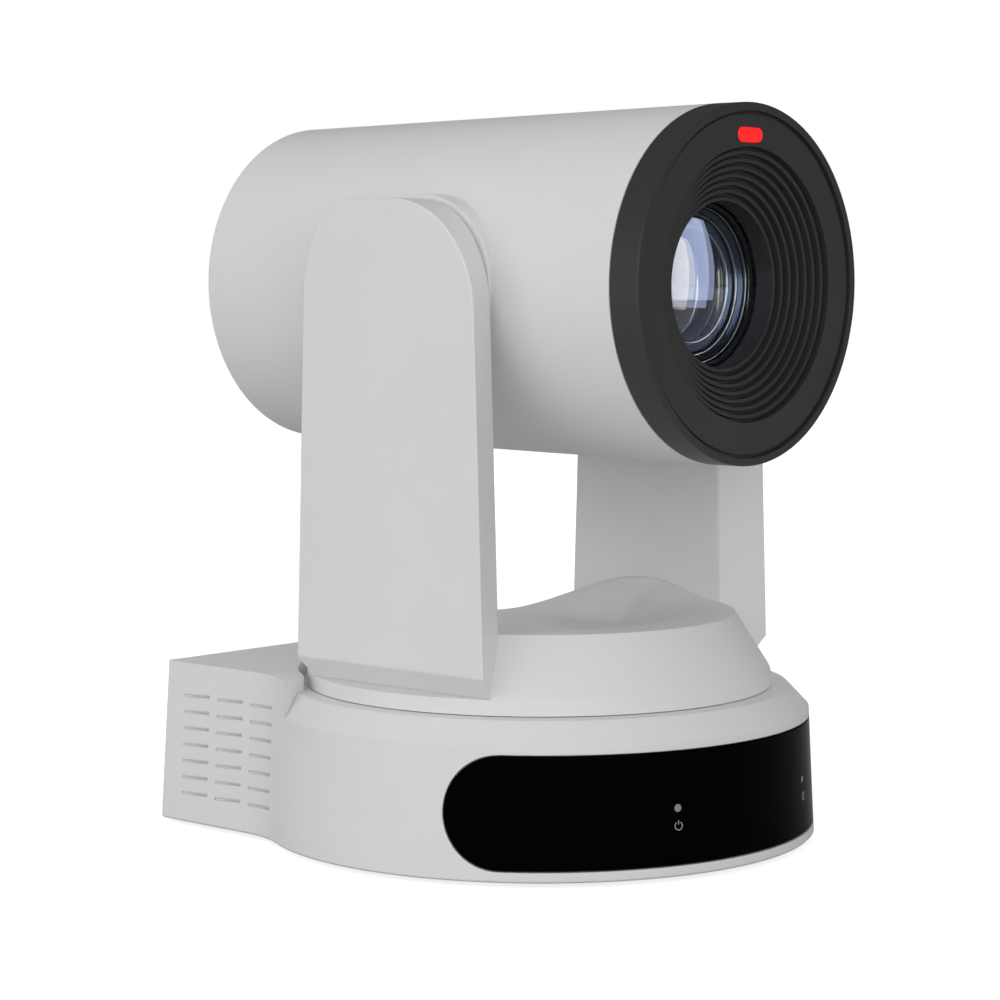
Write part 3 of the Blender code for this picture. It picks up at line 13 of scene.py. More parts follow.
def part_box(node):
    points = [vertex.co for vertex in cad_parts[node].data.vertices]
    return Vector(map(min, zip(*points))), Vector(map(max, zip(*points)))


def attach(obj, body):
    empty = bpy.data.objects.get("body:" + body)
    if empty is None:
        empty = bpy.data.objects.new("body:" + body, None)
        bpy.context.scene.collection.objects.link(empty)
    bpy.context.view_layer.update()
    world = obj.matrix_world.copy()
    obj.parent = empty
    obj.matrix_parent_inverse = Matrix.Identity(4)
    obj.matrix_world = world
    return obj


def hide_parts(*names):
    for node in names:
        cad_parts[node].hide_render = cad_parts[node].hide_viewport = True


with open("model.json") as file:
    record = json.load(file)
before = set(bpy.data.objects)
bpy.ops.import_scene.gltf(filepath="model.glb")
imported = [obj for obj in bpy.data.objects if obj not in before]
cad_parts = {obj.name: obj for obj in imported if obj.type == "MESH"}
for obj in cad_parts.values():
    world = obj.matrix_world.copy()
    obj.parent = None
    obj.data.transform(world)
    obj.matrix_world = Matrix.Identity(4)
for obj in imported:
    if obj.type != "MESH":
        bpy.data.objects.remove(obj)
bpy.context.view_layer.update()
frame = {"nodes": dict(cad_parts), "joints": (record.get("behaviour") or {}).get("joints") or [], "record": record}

bl_info = {
    "name": "Desk camera dressing",
    "version": (1, 0, 0),
    "blender": (4, 5, 0),
    "location": "3D View > Sidebar > Desk camera",
    "description": "Fine housings, lens, finishes and studio for a pan, tilt and zoom camera",
    "category": "Object",
}

# Room between neighbours, how far covers of one body lap, distance at which points merge, and a place past
# every face that is cut
GAP = 0.0003
LAP = 0.0002
MERGE = 2e-6
FAR = 0.12

# Largest radius that counts as on the axis, largest share of an edge that a fillet takes, and length of the
# blocks that cut the louvres
ON_AXIS = 1e-9
FILLET_SHARE = 0.48
LOUVRE_BLOCK = 0.008

# How fine and how deep the grain of moulded plastic is, how deep the lines in metal are, and how many samples
# soften an edge
GRAIN = 2600.0
GRAIN_DEPTH = 0.0001
LINE_DEPTH = 0.00005
EDGE_SAMPLES = 6

TURN = 2.0 * math.pi
ALONG_X = Matrix.Rotation(math.pi / 2.0, 4, "Y")
ALONG_Y = Matrix.Rotation(-math.pi / 2.0, 4, "X")
MIRROR_X = Matrix.Scale(-1.0, 4, (1.0, 0.0, 0.0))


def size(name, description, default):
    return FloatProperty(name=name, description=description, default=default, min=0.0, precision=5,
                         unit="LENGTH")


def angle(name, description, degrees):
    return FloatProperty(name=name, description=description, default=math.radians(degrees),
                         subtype="ANGLE", unit="ROTATION")


def count(name, description, default):
    return IntProperty(name=name, description=description, default=default, min=1)


def ratio(name, description, default):
    return FloatProperty(name=name, description=description, default=default, min=0.0, precision=4,
                         subtype="FACTOR")


def colour(name, description, default):
    return FloatVectorProperty(name=name, description=description, default=default, size=3, min=0.0,
                               max=1.0, subtype="COLOR")


class BaseSizes(bpy.types.PropertyGroup):
    """Sizes of the base, measured from the pan axis and from the lower edge of the housing."""

    pan_axis: FloatProperty(name="Pan axis", description="Where the pan axis stands along Y",
                            default=frame["joints"][0]["pos_m"][1], precision=5, unit="LENGTH")
    foot_proud: size("Feet", "How far the feet stand below the housing", 0.0012)
    radius: size("Radius", "Radius of the round front at the lower edge", 0.071)
    draft: ratio("Draft", "How far the wall leans in for each metre of height", 0.049)
    box_half_width: size("Box half width", "Half width of the rear box at the lower edge", 0.059)
    box_rear: size("Box rear", "How far the rear box reaches behind the pan axis", 0.081)
    box_front: size("Box front", "Where the raised box begins behind the pan axis", 0.0328)
    box_front_half: size("Box front half width", "Half width of the straight part of its front face", 0.0528)
    box_slant: ratio("Box slant", "How far its front face runs forward for each metre outward", 0.388)
    box_height: size("Box height", "Height of the rear box", 0.0415)
    corner_radius: size("Corner radius", "Radius of the upright rear corners", 0.002)
    blend_radius: size("Blend radius", "Radius between the round front and the box sides", 0.030)
    shoulder_start: size("Shoulder start", "Height where the wall turns in to the shoulder", 0.032)
    shoulder_height: size("Shoulder height", "Height of the flat under the turntable", 0.0375)
    shoulder_inset: size("Shoulder inset", "How far the shoulder runs in", 0.0052)
    well_radius: size("Well radius", "Radius of the well that the turntable turns in", 0.062)
    wall: size("Wall", "Thickness of the moulded wall", 0.0025)
    window_half_length: size("Window half length", "Half length of the window along the wall", 0.083)
    window_half_height: size("Window half height", "Half height of the window", 0.0135)
    window_middle: size("Window middle", "Height of the middle of the window", 0.0163)
    window_thickness: size("Window thickness", "Thickness of the window", 0.0015)
    light_angle: angle("Light angle", "Angle of each indicator from the middle of the window", 21.0)
    light_radius: size("Light radius", "Radius of an indicator", 0.001)
    vent_rows: count("Vent rows", "Rows of louvres on each side", 7)
    vent_columns: count("Vent columns", "Columns of louvres on each side", 3)
    vent_row_pitch: size("Vent row pitch", "Height from one louvre to the next", 0.00425)
    vent_column_pitch: size("Vent column pitch", "Length from one louvre to the next", 0.0125)
    vent_lowest: size("Lowest vent", "Height of the lowest louvre", 0.0077)
    vent_first: size("First vent", "Place of the foremost louvre behind the pan axis", 0.0424)
    vent_length: size("Vent length", "Length of a louvre", 0.0095)
    vent_slot: size("Vent slot", "Height of a louvre across its slope", 0.0005)
    vent_depth: size("Vent depth", "Depth of a louvre in its middle", 0.0005)
    vent_slope: angle("Vent slope", "How steeply a louvre runs down into the wall", 48.0)
    vent_ramp: angle("Vent ramp", "How steeply a louvre deepens forwards", 2.5)
    foot_radius: size("Foot radius", "Radius of a rubber foot", 0.006)
    screw_radius: size("Screw head radius", "Radius of a base screw's head", 0.0026)


class TurntableSizes(bpy.types.PropertyGroup):
    """Sizes of the turntable and of the two arms."""

    rim_radius: size("Rim radius", "Radius of the turntable", 0.0597)
    rim_height: size("Rim height", "Height where the rim turns in to the cone", 0.0415)
    deck_radius: size("Deck radius", "Radius of the cone at the deck", 0.0505)
    deck_height: size("Deck height", "Height of the deck at the front", 0.056)
    valley_half_width: size("Valley half width", "Half width between the feet of the humps", 0.030)
    sweep_clearance: size("Sweep clearance", "Room between the head's sweep and the deck", 0.0006)
    deck_blend: size("Deck blend", "Height over which the deck rounds off into the scoop", 0.004)
    hump_blend: size("Hump blend", "Height over which a hump rounds off into the scoop", 0.002)
    scoop_start: size("Scoop start", "Radius where its front starts to follow the drum's round", 0.022)
    scoop_run: size("Scoop run", "Length over which it comes to follow it", 0.016)
    scoop_front: size("Scoop front", "Distance ahead of the pan axis where it follows it in full", 0.010)
    hump_height: size("Hump height", "Height of the deck beside the arms", 0.061)
    hump_peak: FloatProperty(name="Hump peak", description="Place of the highest point behind the pan axis",
                             default=-0.0006, precision=5, unit="LENGTH")
    hump_front_reach: size("Hump front reach", "Length of the hump's front slope", 0.026)
    hump_rear_reach: size("Hump rear reach", "Length of the hump's rear slope", 0.052)
    arm_inner: size("Arm inner face", "Distance of an arm's inner face from the middle", 0.044)
    arm_outer: size("Arm outer face", "Distance of an arm's outer face from the middle", 0.0564)
    arm_foot: size("Arm foot", "Half width of an arm at its foot", 0.0259)
    arm_flare: size("Arm flare", "How much wider an arm's outer face is", 0.0057)
    arm_narrowing: size("Arm narrowing", "How much an arm narrows from foot to shoulder", 0.003)
    arm_top: size("Arm top", "Height of an arm", 0.1605)
    arm_front_round: size("Front round", "Height of an arm's front shoulder curve", 0.028)
    arm_rear_round: size("Rear round", "Height of an arm's rear shoulder curve", 0.024)
    arm_edge: size("Arm edge", "Radius of an arm's outer edge", 0.0006)
    arm_inner_edge: size("Arm inner edge", "Radius of an arm's edge by the head", 0.0007)
    arm_wall: size("Arm wall", "Wall of an arm", 0.002)
    chamfer_width: size("Foot slope width", "Width of the slope under an arm", 0.0046)
    chamfer_height: size("Foot slope height", "Height of the slope under an arm", 0.0054)
    foot_bend: size("Foot bend", "Radius of the bend between an arm's outer face and its foot slope", 0.0015)


class HeadSizes(bpy.types.PropertyGroup):
    """Sizes of the head, its front bezel and its lens, measured from the tilt axis."""

    tilt_height: size("Tilt height", "Height of the tilt axis", 0.1397)
    front: size("Front", "How far the bezel reaches in front of the tilt axis", 0.0673)
    rear: size("Rear", "How far the head reaches behind the tilt axis", 0.07939)
    bezel_radius: size("Bezel radius", "Radius of the bezel and of the shell behind it", 0.0435)
    bezel_depth: size("Bezel depth", "Depth of the black band", 0.0083)
    rear_radius: size("Rear radius", "Radius of the shell at the rear", 0.04175)
    wall: size("Wall", "Wall of the shell", 0.0022)
    collar_radius: size("Collar radius", "Radius of the collar at each arm", 0.022)
    collar_face: size("Collar face", "Distance of a collar's face from the middle", 0.0436)
    rim_width: size("Rim width", "Width of the bezel's raised rim", 0.002)
    rim_groove: size("Rim groove", "Width and depth of the groove at the rim's foot", 0.0007)
    face_recess: size("Face recess", "How far the bezel's face lies behind its rim", 0.0007)
    baffle_radius: size("Baffle radius", "Outer radius of the stepped baffle", 0.033)
    baffle_steps: count("Baffle steps", "Steps of the baffle", 7)
    baffle_width: size("Step width", "Width of one step", 0.00183)
    baffle_depth: size("Step depth", "Depth of one step", 0.0011)
    groove_width: size("Groove width", "Width of the groove at the root of a step", 0.0008)
    groove_depth: size("Groove depth", "Depth of the groove below its step", 0.0009)
    tally_height: size("Tally height", "Height of the tally light over the lens axis", 0.03575)
    tally_length: size("Tally length", "Length of the tally light", 0.0096)
    tally_width: size("Tally width", "Width of the tally light", 0.0035)
    barrel_front: size("Barrel front", "How far the barrel reaches in front of the tilt axis", 0.053)
    barrel_bore: size("Barrel bore", "Radius of the barrel's bore", 0.0193)
    glass_radius: size("Glass radius", "Radius of the front glass", 0.019)
    glass_rim: size("Glass rim", "Distance of the front glass's rim from the tilt axis", 0.0524)
    glass_sag: size("Glass sag", "How far the front glass bulges", 0.0038)
    zoom_place: size("Zoom place", "Distance of the zoom group in front of the tilt axis", 0.020)
    focus_place: size("Focus place", "Distance of the focus group behind the tilt axis", 0.002)


class Finishes(bpy.types.PropertyGroup):
    """Colours of the visible surfaces."""

    shell: colour("Shell", "Pale moulded plastic", (0.83, 0.83, 0.83))
    window: colour("Window", "Black front window", (0.0010, 0.0010, 0.0011))
    bezel: colour("Bezel", "Black front bezel", (0.041, 0.041, 0.0415))
    tally: colour("Tally", "Lit tally light", (1.0, 0.010, 0.010))
    pipe: colour("Indicator", "Unlit indicator", (0.30, 0.30, 0.31))
    coating: colour("Coating", "Reflection of the front lens's coating", (0.40, 0.54, 1.0))
    inner_coating: colour("Inner coating", "Reflection of the other lenses' coating", (0.90, 0.82, 0.40))
    panel: colour("Panel", "Rear socket panel", (0.05, 0.05, 0.053))
    floor: colour("Floor", "Studio floor", (0.54, 0.54, 0.54))


class Studio(bpy.types.PropertyGroup):
    """Camera and light of the studio."""

    focal_length: FloatProperty(name="Focal length", description="Focal length on a 36 mm sensor",
                                default=100.114, min=1.0, unit="CAMERA")
    ambient: FloatProperty(name="Ambient", description="Strength of the light from all round",
                           default=0.50, min=0.0)
    horizon: FloatProperty(name="Horizon", description="How much brighter the surround is at the horizon",
                           default=1.4, min=0.0)
    dim_side: FloatProperty(name="Dim side", description="Share of the surround left on the dim side",
                            default=0.7, min=0.0)
    mirrored: FloatProperty(name="Mirrored", description="Share of the surround that glossy surfaces reflect",
                            default=0.2, min=0.0)
    floor_lift: FloatProperty(name="Floor lift", description="How much paler the camera sees the floor",
                              default=0.80, min=0.0)
    panel: FloatProperty(name="Panel", description="Power of the panel that the lens reflects", default=2.9,
                         min=0.0, unit="POWER")
    key: FloatProperty(name="Key", description="Power of the large soft light", default=1.7, min=0.0,
                       unit="POWER")
    back: FloatProperty(name="Back", description="Power of the soft light from the rear", default=1.2,
                        min=0.0, unit="POWER")
    fill: FloatProperty(name="Fill", description="Power of the soft light by the camera", default=3.1,
                        min=0.0, unit="POWER")


# Solids as bmeshes, drawn round the pan axis


def loft(rings):
    """A solid through closed rings of equal length, capped at both ends."""
    bm = bmesh.new()
    loops = [[bm.verts.new(point) for point in ring] for ring in rings]
    total = len(loops[0])
    for low, high in zip(loops, loops[1:]):
        for i in range(total):
            j = (i + 1) % total
            bm.faces.new((low[i], low[j], high[j], high[i]))
    bm.faces.new(loops[0][::-1])
    bm.faces.new(loops[-1])
    return bm


def prism(outline, low, high):
    return loft([[(x, y, z) for x, y in outline] for z in (low, high)])


def box(x, y, z):
    return prism([(x[0], y[0]), (x[1], y[0]), (x[1], y[1]), (x[0], y[1])], *z)


def rounded(points, steps=4, closed=True):
    """A profile whose corners are rounded. A point is (radius, height) or has its fillet as a third value."""
    done = []
    total = len(points)
    for i, point in enumerate(points):
        here = Vector(point[:2])
        fillet = point[2] if len(point) > 2 else 0.0
        if fillet <= 0.0 or (not closed and i in (0, total - 1)):
            done.append(tuple(here))
            continue
        back = Vector(points[i - 1][:2]) - here
        ahead = Vector(points[(i + 1) % total][:2]) - here
        fillet = min(fillet, FILLET_SHARE * back.length, FILLET_SHARE * ahead.length)
        start, end = here + back.normalized() * fillet, here + ahead.normalized() * fillet
        for k in range(steps + 1):
            t = k / steps
            done.append(tuple(start * (1 - t) ** 2 + here * 2 * t * (1 - t) + end * t * t))
    return done


def revolve(profile, segments):
    """Turns (radius, height) points round Z. A profile that meets the axis at neither end is closed."""
    bm = bmesh.new()
    rows = []
    for radius, height in profile:
        if radius < ON_AXIS:
            rows.append([bm.verts.new((0.0, 0.0, height))])
        else:
            circle = arc((0.0, 0.0), radius, 0.0, TURN, segments)[:-1]
            rows.append([bm.verts.new((x, y, height)) for x, y in circle])
    pairs = list(zip(rows, rows[1:]))
    if len(rows[0]) > 1 and len(rows[-1]) > 1:
        pairs.append((rows[-1], rows[0]))
    for low, high in pairs:
        for i in range(segments):
            j = (i + 1) % segments
            corners = (low[i % len(low)], low[j % len(low)], high[j % len(high)], high[i % len(high)])
            face = list(dict.fromkeys(corners))
            if len(face) > 2:
                bm.faces.new(face)
    return bm


def cylinder(radius, low, high, segments=64):
    return revolve([(0.0, low), (radius, low), (radius, high), (0.0, high)], segments)


def at(x=0.0, y=0.0, z=0.0):
    return Matrix.Translation((x, y, z))


def moved(bm, matrix):
    bmesh.ops.transform(bm, matrix=matrix, verts=bm.verts)
    return bm


def merged(*solids):
    """One bmesh that holds several separate solids."""
    bm = bmesh.new()
    for solid in solids:
        mesh = bpy.data.meshes.new("held")
        bmesh.ops.recalc_face_normals(solid, faces=solid.faces)
        solid.to_mesh(mesh)
        solid.free()
        bm.from_mesh(mesh)
        bpy.data.meshes.remove(mesh)
    return bm


# Objects


def bare_object(bm, name):
    """An object that holds a bmesh, with its faces turned outward."""
    bmesh.ops.recalc_face_normals(bm, faces=bm.faces)
    mesh = bpy.data.meshes.new(name)
    bm.to_mesh(mesh)
    bm.free()
    obj = bpy.data.objects.new(name, mesh)
    bpy.context.scene.collection.objects.link(obj)
    return obj


def turned(profile, segments, matrix, name):
    """An object turned from a profile and moved to its axis."""
    return bare_object(moved(revolve(profile, segments), matrix), name)


def baked(obj):
    """Makes what an object's modifiers give its own mesh, and removes them."""
    bpy.context.view_layer.update()
    shaped = bpy.data.meshes.new_from_object(obj.evaluated_get(bpy.context.evaluated_depsgraph_get()))
    obj.modifiers.clear()
    old = obj.data
    obj.data = shaped
    shaped.name = obj.name
    bpy.data.meshes.remove(old)
    return obj


def taken(obj):
    """An object's mesh as a bmesh. The object goes."""
    bm = bmesh.new()
    bm.from_mesh(obj.data)
    bpy.data.meshes.remove(obj.data)
    return bm


def combine(obj, bm, operation):
    """Applies an exact Boolean and drops the tool."""
    tool = bare_object(bm, obj.name + "_tool")
    held = bmesh.new()
    held.from_mesh(obj.data)
    bmesh.ops.triangulate(held, faces=held.faces)
    held.to_mesh(obj.data)
    held.free()
    modifier = obj.modifiers.new("shape", "BOOLEAN")
    modifier.operation = operation
    modifier.solver = "EXACT"
    modifier.object = tool
    baked(obj)
    bpy.data.meshes.remove(tool.data)
    return obj


def cut(obj, *tools):
    for tool in tools:
        combine(obj, tool, "DIFFERENCE")
    return obj


def join(obj, *tools):
    for tool in tools:
        combine(obj, tool, "UNION")
    return obj


def seal(mesh):
    """Joins points that lie together, drops slivers and faces inside the solid, and turns faces outward."""
    bm = bmesh.new()
    bm.from_mesh(mesh)
    bmesh.ops.remove_doubles(bm, verts=bm.verts, dist=MERGE)
    bmesh.ops.dissolve_degenerate(bm, edges=bm.edges, dist=MERGE)
    inner = [face for face in bm.faces if all(len(edge.link_faces) > 2 for edge in face.edges)]
    bmesh.ops.delete(bm, geom=inner, context="FACES")
    bmesh.ops.recalc_face_normals(bm, faces=bm.faces)
    bm.to_mesh(mesh)
    bm.free()


def finish(obj, look, body, *nodes, slot=None, sharp=28.0):
    """Shades a piece, moves it from the pan axis to its place and lets it ride and stand for its nodes."""
    mesh = obj.data
    mesh.transform(at(0.0, bpy.context.scene.camera_base.pan_axis))
    seal(mesh)
    mesh.materials.clear()
    mesh.materials.append(FINISH[look])
    mesh.polygons.foreach_set("use_smooth", [True] * len(mesh.polygons))
    mesh.set_sharp_from_angle(angle=math.radians(sharp))
    even = obj.modifiers.new("even shading", "WEIGHTED_NORMAL")
    even.keep_sharp = True
    even.mode = "FACE_AREA_WITH_ANGLE"
    baked(obj)
    if nodes:
        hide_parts(*nodes)
    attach(obj, body)
    slot or look


# Outlines


def arc(centre, radius, start, end, steps):
    return [(centre[0] + radius * math.cos(start + (end - start) * i / steps),
             centre[1] + radius * math.sin(start + (end - start) * i / steps))
            for i in range(steps + 1)]


def blend_middle(base):
    """Middle of the arc that blends the round front into the side of the rear box."""
    across = base.box_half_width + base.blend_radius
    return across, math.sqrt((base.radius + base.blend_radius) ** 2 - across ** 2)


def base_outline(base, inset):
    """The round base with its rear box, drawn in from the wall by an inset."""
    least_corner = 0.0006
    half, rear = base.box_half_width - inset, base.box_rear - inset
    corner = max(base.corner_radius - inset, least_corner)
    middle = blend_middle(base)
    meet = math.atan2(middle[1], middle[0])
    right = arc((0.0, 0.0), base.radius - inset, -math.pi / 2.0, meet, steps=72)
    right += arc(middle, base.blend_radius + inset, meet + math.pi, math.pi, steps=14)[1:]
    right += arc((half - corner, rear - corner), corner, 0.0, math.pi / 2.0, steps=10)
    return right + [(-x, y) for x, y in right[::-1] if x > ON_AXIS]


def base_ring(base, inset, height):
    return [(x, y, base.foot_proud + height) for x, y in base_outline(base, inset)]


def wall_radius(base, height):
    return base.radius - base.draft * height


def on_wall(base, along, rise, proud):
    """The point of the front wall at a length along it and a height from the window's middle."""
    turn = along / wall_radius(base, base.window_middle) - math.pi / 2.0
    level = base.window_middle + rise
    reach = wall_radius(base, level) + proud
    return reach * math.cos(turn), reach * math.sin(turn), base.foot_proud + level


def curved_plate(base, half_length, half_height, outer, inner, edge=0.0):
    """A plate with round ends, bent to the base wall. An edge draws the front corners back."""
    flat_steps, end_steps = 48, 14
    straight = half_length - half_height
    flat = [straight * (i / flat_steps - 1.0) for i in range(2 * flat_steps + 1)]
    end = [straight + half_height * math.sin(math.pi / 2.0 * i / end_steps) for i in range(1, end_steps + 1)]
    stations = []
    for place in [-place for place in end[::-1]] + flat + end:
        past = max(0.0, abs(place) - straight)
        height = math.sqrt(max(0.0, half_height ** 2 - past ** 2))
        soft = min(edge, height)
        corners = [(height, outer - soft), (height - soft, outer), (soft - height, outer),
                   (-height, outer - soft), (-height, inner), (height, inner)]
        stations.append([on_wall(base, place, rise, proud) for rise, proud in corners])
    bm = loft(stations)
    bmesh.ops.remove_doubles(bm, verts=bm.verts, dist=MERGE)
    bmesh.ops.dissolve_degenerate(bm, edges=bm.edges, dist=MERGE / 2.0)
    bmesh.ops.triangulate(bm, faces=bm.faces)
    return bm


def stadium(length, width, steps=16):
    radius, reach = width / 2.0, (length - width) / 2.0
    return (arc((reach, 0.0), radius, -math.pi / 2.0, math.pi / 2.0, steps)
            + arc((-reach, 0.0), radius, math.pi / 2.0, 1.5 * math.pi, steps))


def light_matrix(base, side):
    """Where an indicator's axis leaves the pan axis, with Z turned outward."""
    heading = side * base.light_angle - math.pi / 2.0
    return at(0.0, 0.0, base.foot_proud + base.window_middle) @ Matrix.Rotation(heading, 4, "Z") @ ALONG_X


# Geometry Nodes


def add_node(tree, kind, links=(), **settings):
    """A node of a tree. Links give each input a value, or the socket that feeds it."""
    made = tree.nodes.new(kind)
    for key, setting in settings.items():
        setattr(made, key, setting)
    for key, source in dict(links).items():
        if isinstance(source, bpy.types.NodeSocket):
            tree.links.new(source, made.inputs[key])
        else:
            made.inputs[key].default_value = source
    return made


class Tree:
    """A Geometry Nodes tree under construction, with inputs that are named under their kind."""

    def __init__(self, name, **inputs):
        self.group = bpy.data.node_groups.new(name, "GeometryNodeTree")
        sockets = self.group.interface
        for way in ("INPUT", "OUTPUT"):
            sockets.new_socket("Geometry", in_out=way, socket_type="NodeSocketGeometry")
        for kind, labels in {**inputs, "Material": ("Material",)}.items():
            for label in labels:
                sockets.new_socket(label, in_out="INPUT", socket_type="NodeSocket" + kind)
        self.start = self.group.nodes.new("NodeGroupInput")
        self.end = self.group.nodes.new("NodeGroupOutput")
        self.node = partial(add_node, self.group)

    def value(self, name):
        return self.start.outputs[name]

    def math(self, operation, first, second=0.0):
        return self.node("ShaderNodeMath", {0: first, 1: second}, operation=operation).outputs[0]

    def vector(self, **parts):
        return self.node("ShaderNodeCombineXYZ", parts).outputs[0]

    def on_points(self, instance):
        """An instance on each point of the object's mesh."""
        return self.node("GeometryNodeInstanceOnPoints", {"Points": self.value("Geometry"),
                                                          "Instance": instance}).outputs[0]

    def finish(self, geometry):
        whole = self.node("GeometryNodeRealizeInstances", {"Geometry": geometry})
        painted = self.node("GeometryNodeSetMaterial", {"Geometry": whole.outputs[0],
                                                        "Material": self.value("Material")})
        self.group.links.new(painted.outputs[0], self.end.inputs["Geometry"])


def grown(tree, name, values, points=()):
    """An object whose mesh a tree has made, from points if it needs them, with the tree's modifier gone."""
    mesh = bpy.data.meshes.new(name)
    mesh.from_pydata(points, [], [])
    obj = bpy.data.objects.new(name, mesh)
    bpy.context.scene.collection.objects.link(obj)
    modifier = obj.modifiers.new("growth", "NODES")
    modifier.node_group = tree.group
    for item in tree.group.interface.items_tree:
        if item.item_type == "SOCKET" and item.in_out == "INPUT" and item.name in values:
            modifier[item.identifier] = values[item.name]
    return baked(obj)


def louvre_tree():
    """Blocks that cut shallow scoops into a wall, which leans back as it rises and bends out at one end."""
    tree = Tree("louvre field", Int=("Rows", "Columns"),
                Float=("Row Pitch", "Column Pitch", "Length", "Slot", "Depth", "Slope", "Ramp", "Lean",
                       "Bend Start", "Bend Radius", "Block"))
    value, math_of = tree.value, tree.math
    bend_points = 9
    tall = math_of("MULTIPLY", value("Row Pitch"), math_of("SUBTRACT", value("Rows"), 1.0))
    wide = math_of("MULTIPLY", value("Column Pitch"), math_of("SUBTRACT", value("Columns"), 1.0))
    grid = tree.node("GeometryNodeMeshGrid", {"Size X": tall, "Size Y": wide, "Vertices X": value("Rows"),
                                              "Vertices Y": value("Columns")})
    flat = tree.node("ShaderNodeSeparateXYZ", {0: tree.node("GeometryNodeInputPosition").outputs[0]})
    lean = math_of("MULTIPLY", flat.outputs["X"], math_of("MULTIPLY", value("Lean"), -1.0))
    half = math_of("MULTIPLY", math_of("MULTIPLY", value("Block"), 0.5), math_of("COSINE", value("Slope")))
    standing = math_of("SUBTRACT", half, value("Depth"))
    climb = math_of("MULTIPLY", standing, math_of("TANGENT", value("Slope")))
    spot = tree.vector(X=math_of("ADD", lean, standing), Y=flat.outputs["Y"],
                       Z=math_of("ADD", flat.outputs["X"], climb))
    wall = tree.node("GeometryNodeSetPosition", {"Geometry": grid.outputs["Mesh"], "Position": spot})
    block = tree.node("GeometryNodeMeshCube", {
        "Size": tree.vector(X=value("Block"), Y=value("Length"), Z=value("Slot")), "Vertices Y": bend_points})
    turn = tree.vector(Y=math_of("MULTIPLY", value("Slope"), -1.0),
                       Z=math_of("MULTIPLY", value("Ramp"), -1.0))
    field = tree.node("GeometryNodeInstanceOnPoints", {
        "Points": wall.outputs[0], "Instance": block.outputs["Mesh"], "Rotation": turn})
    whole = tree.node("GeometryNodeRealizeInstances", {"Geometry": field.outputs[0]})
    past = math_of("MAXIMUM", 0.0, math_of("SUBTRACT", value("Bend Start"), flat.outputs["Y"]))
    chord = math_of("SQRT", math_of("SUBTRACT", math_of("POWER", value("Bend Radius"), 2.0),
                                    math_of("POWER", past, 2.0)))
    outward = tree.vector(X=math_of("SUBTRACT", value("Bend Radius"), chord))
    bent = tree.node("GeometryNodeSetPosition", {"Geometry": whole.outputs[0], "Offset": outward})
    tree.finish(bent.outputs[0])
    return tree


def baffle_tree():
    """A stepped ring: each step lies further in and further back than the last, with a groove at its root."""
    tree = Tree("stepped baffle", Int=("Steps", "Segments"),
                Float=("Radius", "Step Width", "Step Depth", "Groove Width", "Groove Depth", "Body", "Edge"))
    value, math_of = tree.value, tree.math
    corners, end_corners, fillet_points = 4.0, 3.0, 3

    def choose(test, yes, no):
        other = math_of("MULTIPLY", math_of("SUBTRACT", 1.0, test), no)
        return math_of("ADD", math_of("MULTIPLY", test, yes), other)

    last = math_of("MULTIPLY", value("Steps"), corners)
    line = tree.node("GeometryNodeCurvePrimitiveLine")
    points = tree.node("GeometryNodeResampleCurve", {"Curve": line.outputs[0],
                                                     "Count": math_of("ADD", last, end_corners)})
    index = tree.node("GeometryNodeInputIndex").outputs[0]
    step = math_of("FLOOR", math_of("DIVIDE", index, corners))
    # Corner 0 of a step is its front edge, 1 and 2 are the floor of the groove, and 3 is the step's own floor
    corner = math_of("SUBTRACT", index, math_of("MULTIPLY", step, corners))
    on_steps = math_of("LESS_THAN", index, math_of("ADD", last, 0.5))
    turning = math_of("LESS_THAN", index, math_of("ADD", last, 1.5))
    past_groove = math_of("GREATER_THAN", corner, 1.5)
    lowered = math_of("MAXIMUM", math_of("GREATER_THAN", corner, 0.5), math_of("LESS_THAN", index, 0.5))
    in_groove = math_of("MULTIPLY", lowered, math_of("LESS_THAN", corner, 2.5))
    inward = math_of("ADD", math_of("MULTIPLY", step, value("Step Width")),
                     math_of("MULTIPLY", past_groove, value("Groove Width")))
    back = math_of("ADD", math_of("MULTIPLY", math_of("ADD", step, lowered), value("Step Depth")),
                   math_of("MULTIPLY", in_groove, value("Groove Depth")))
    whole = math_of("MULTIPLY", value("Steps"), value("Step Width"))
    deep = math_of("ADD", math_of("MULTIPLY", value("Steps"), value("Step Depth")), value("Body"))
    reach = choose(on_steps, inward, choose(turning, whole, 0.0))
    depth = choose(on_steps, back, choose(turning, deep, value("Body")))
    spot = tree.vector(X=math_of("MULTIPLY", reach, -1.0), Y=math_of("MULTIPLY", depth, -1.0))
    profile = tree.node("GeometryNodeSetPosition", {"Geometry": points.outputs[0], "Position": spot})
    loop = tree.node("GeometryNodeSetSplineCyclic", {"Geometry": profile.outputs[0], "Cyclic": True})
    soft = tree.node("GeometryNodeFilletCurve", {"Curve": loop.outputs[0], "Count": fillet_points,
                                                 "Radius": value("Edge"), "Limit Radius": True}, mode="POLY")
    path = tree.node("GeometryNodeCurvePrimitiveCircle", {"Resolution": value("Segments"),
                                                          "Radius": value("Radius")})
    ring = tree.node("GeometryNodeCurveToMesh", {"Curve": path.outputs[0], "Profile Curve": soft.outputs[0]})
    tree.finish(ring.outputs[0])
    return tree


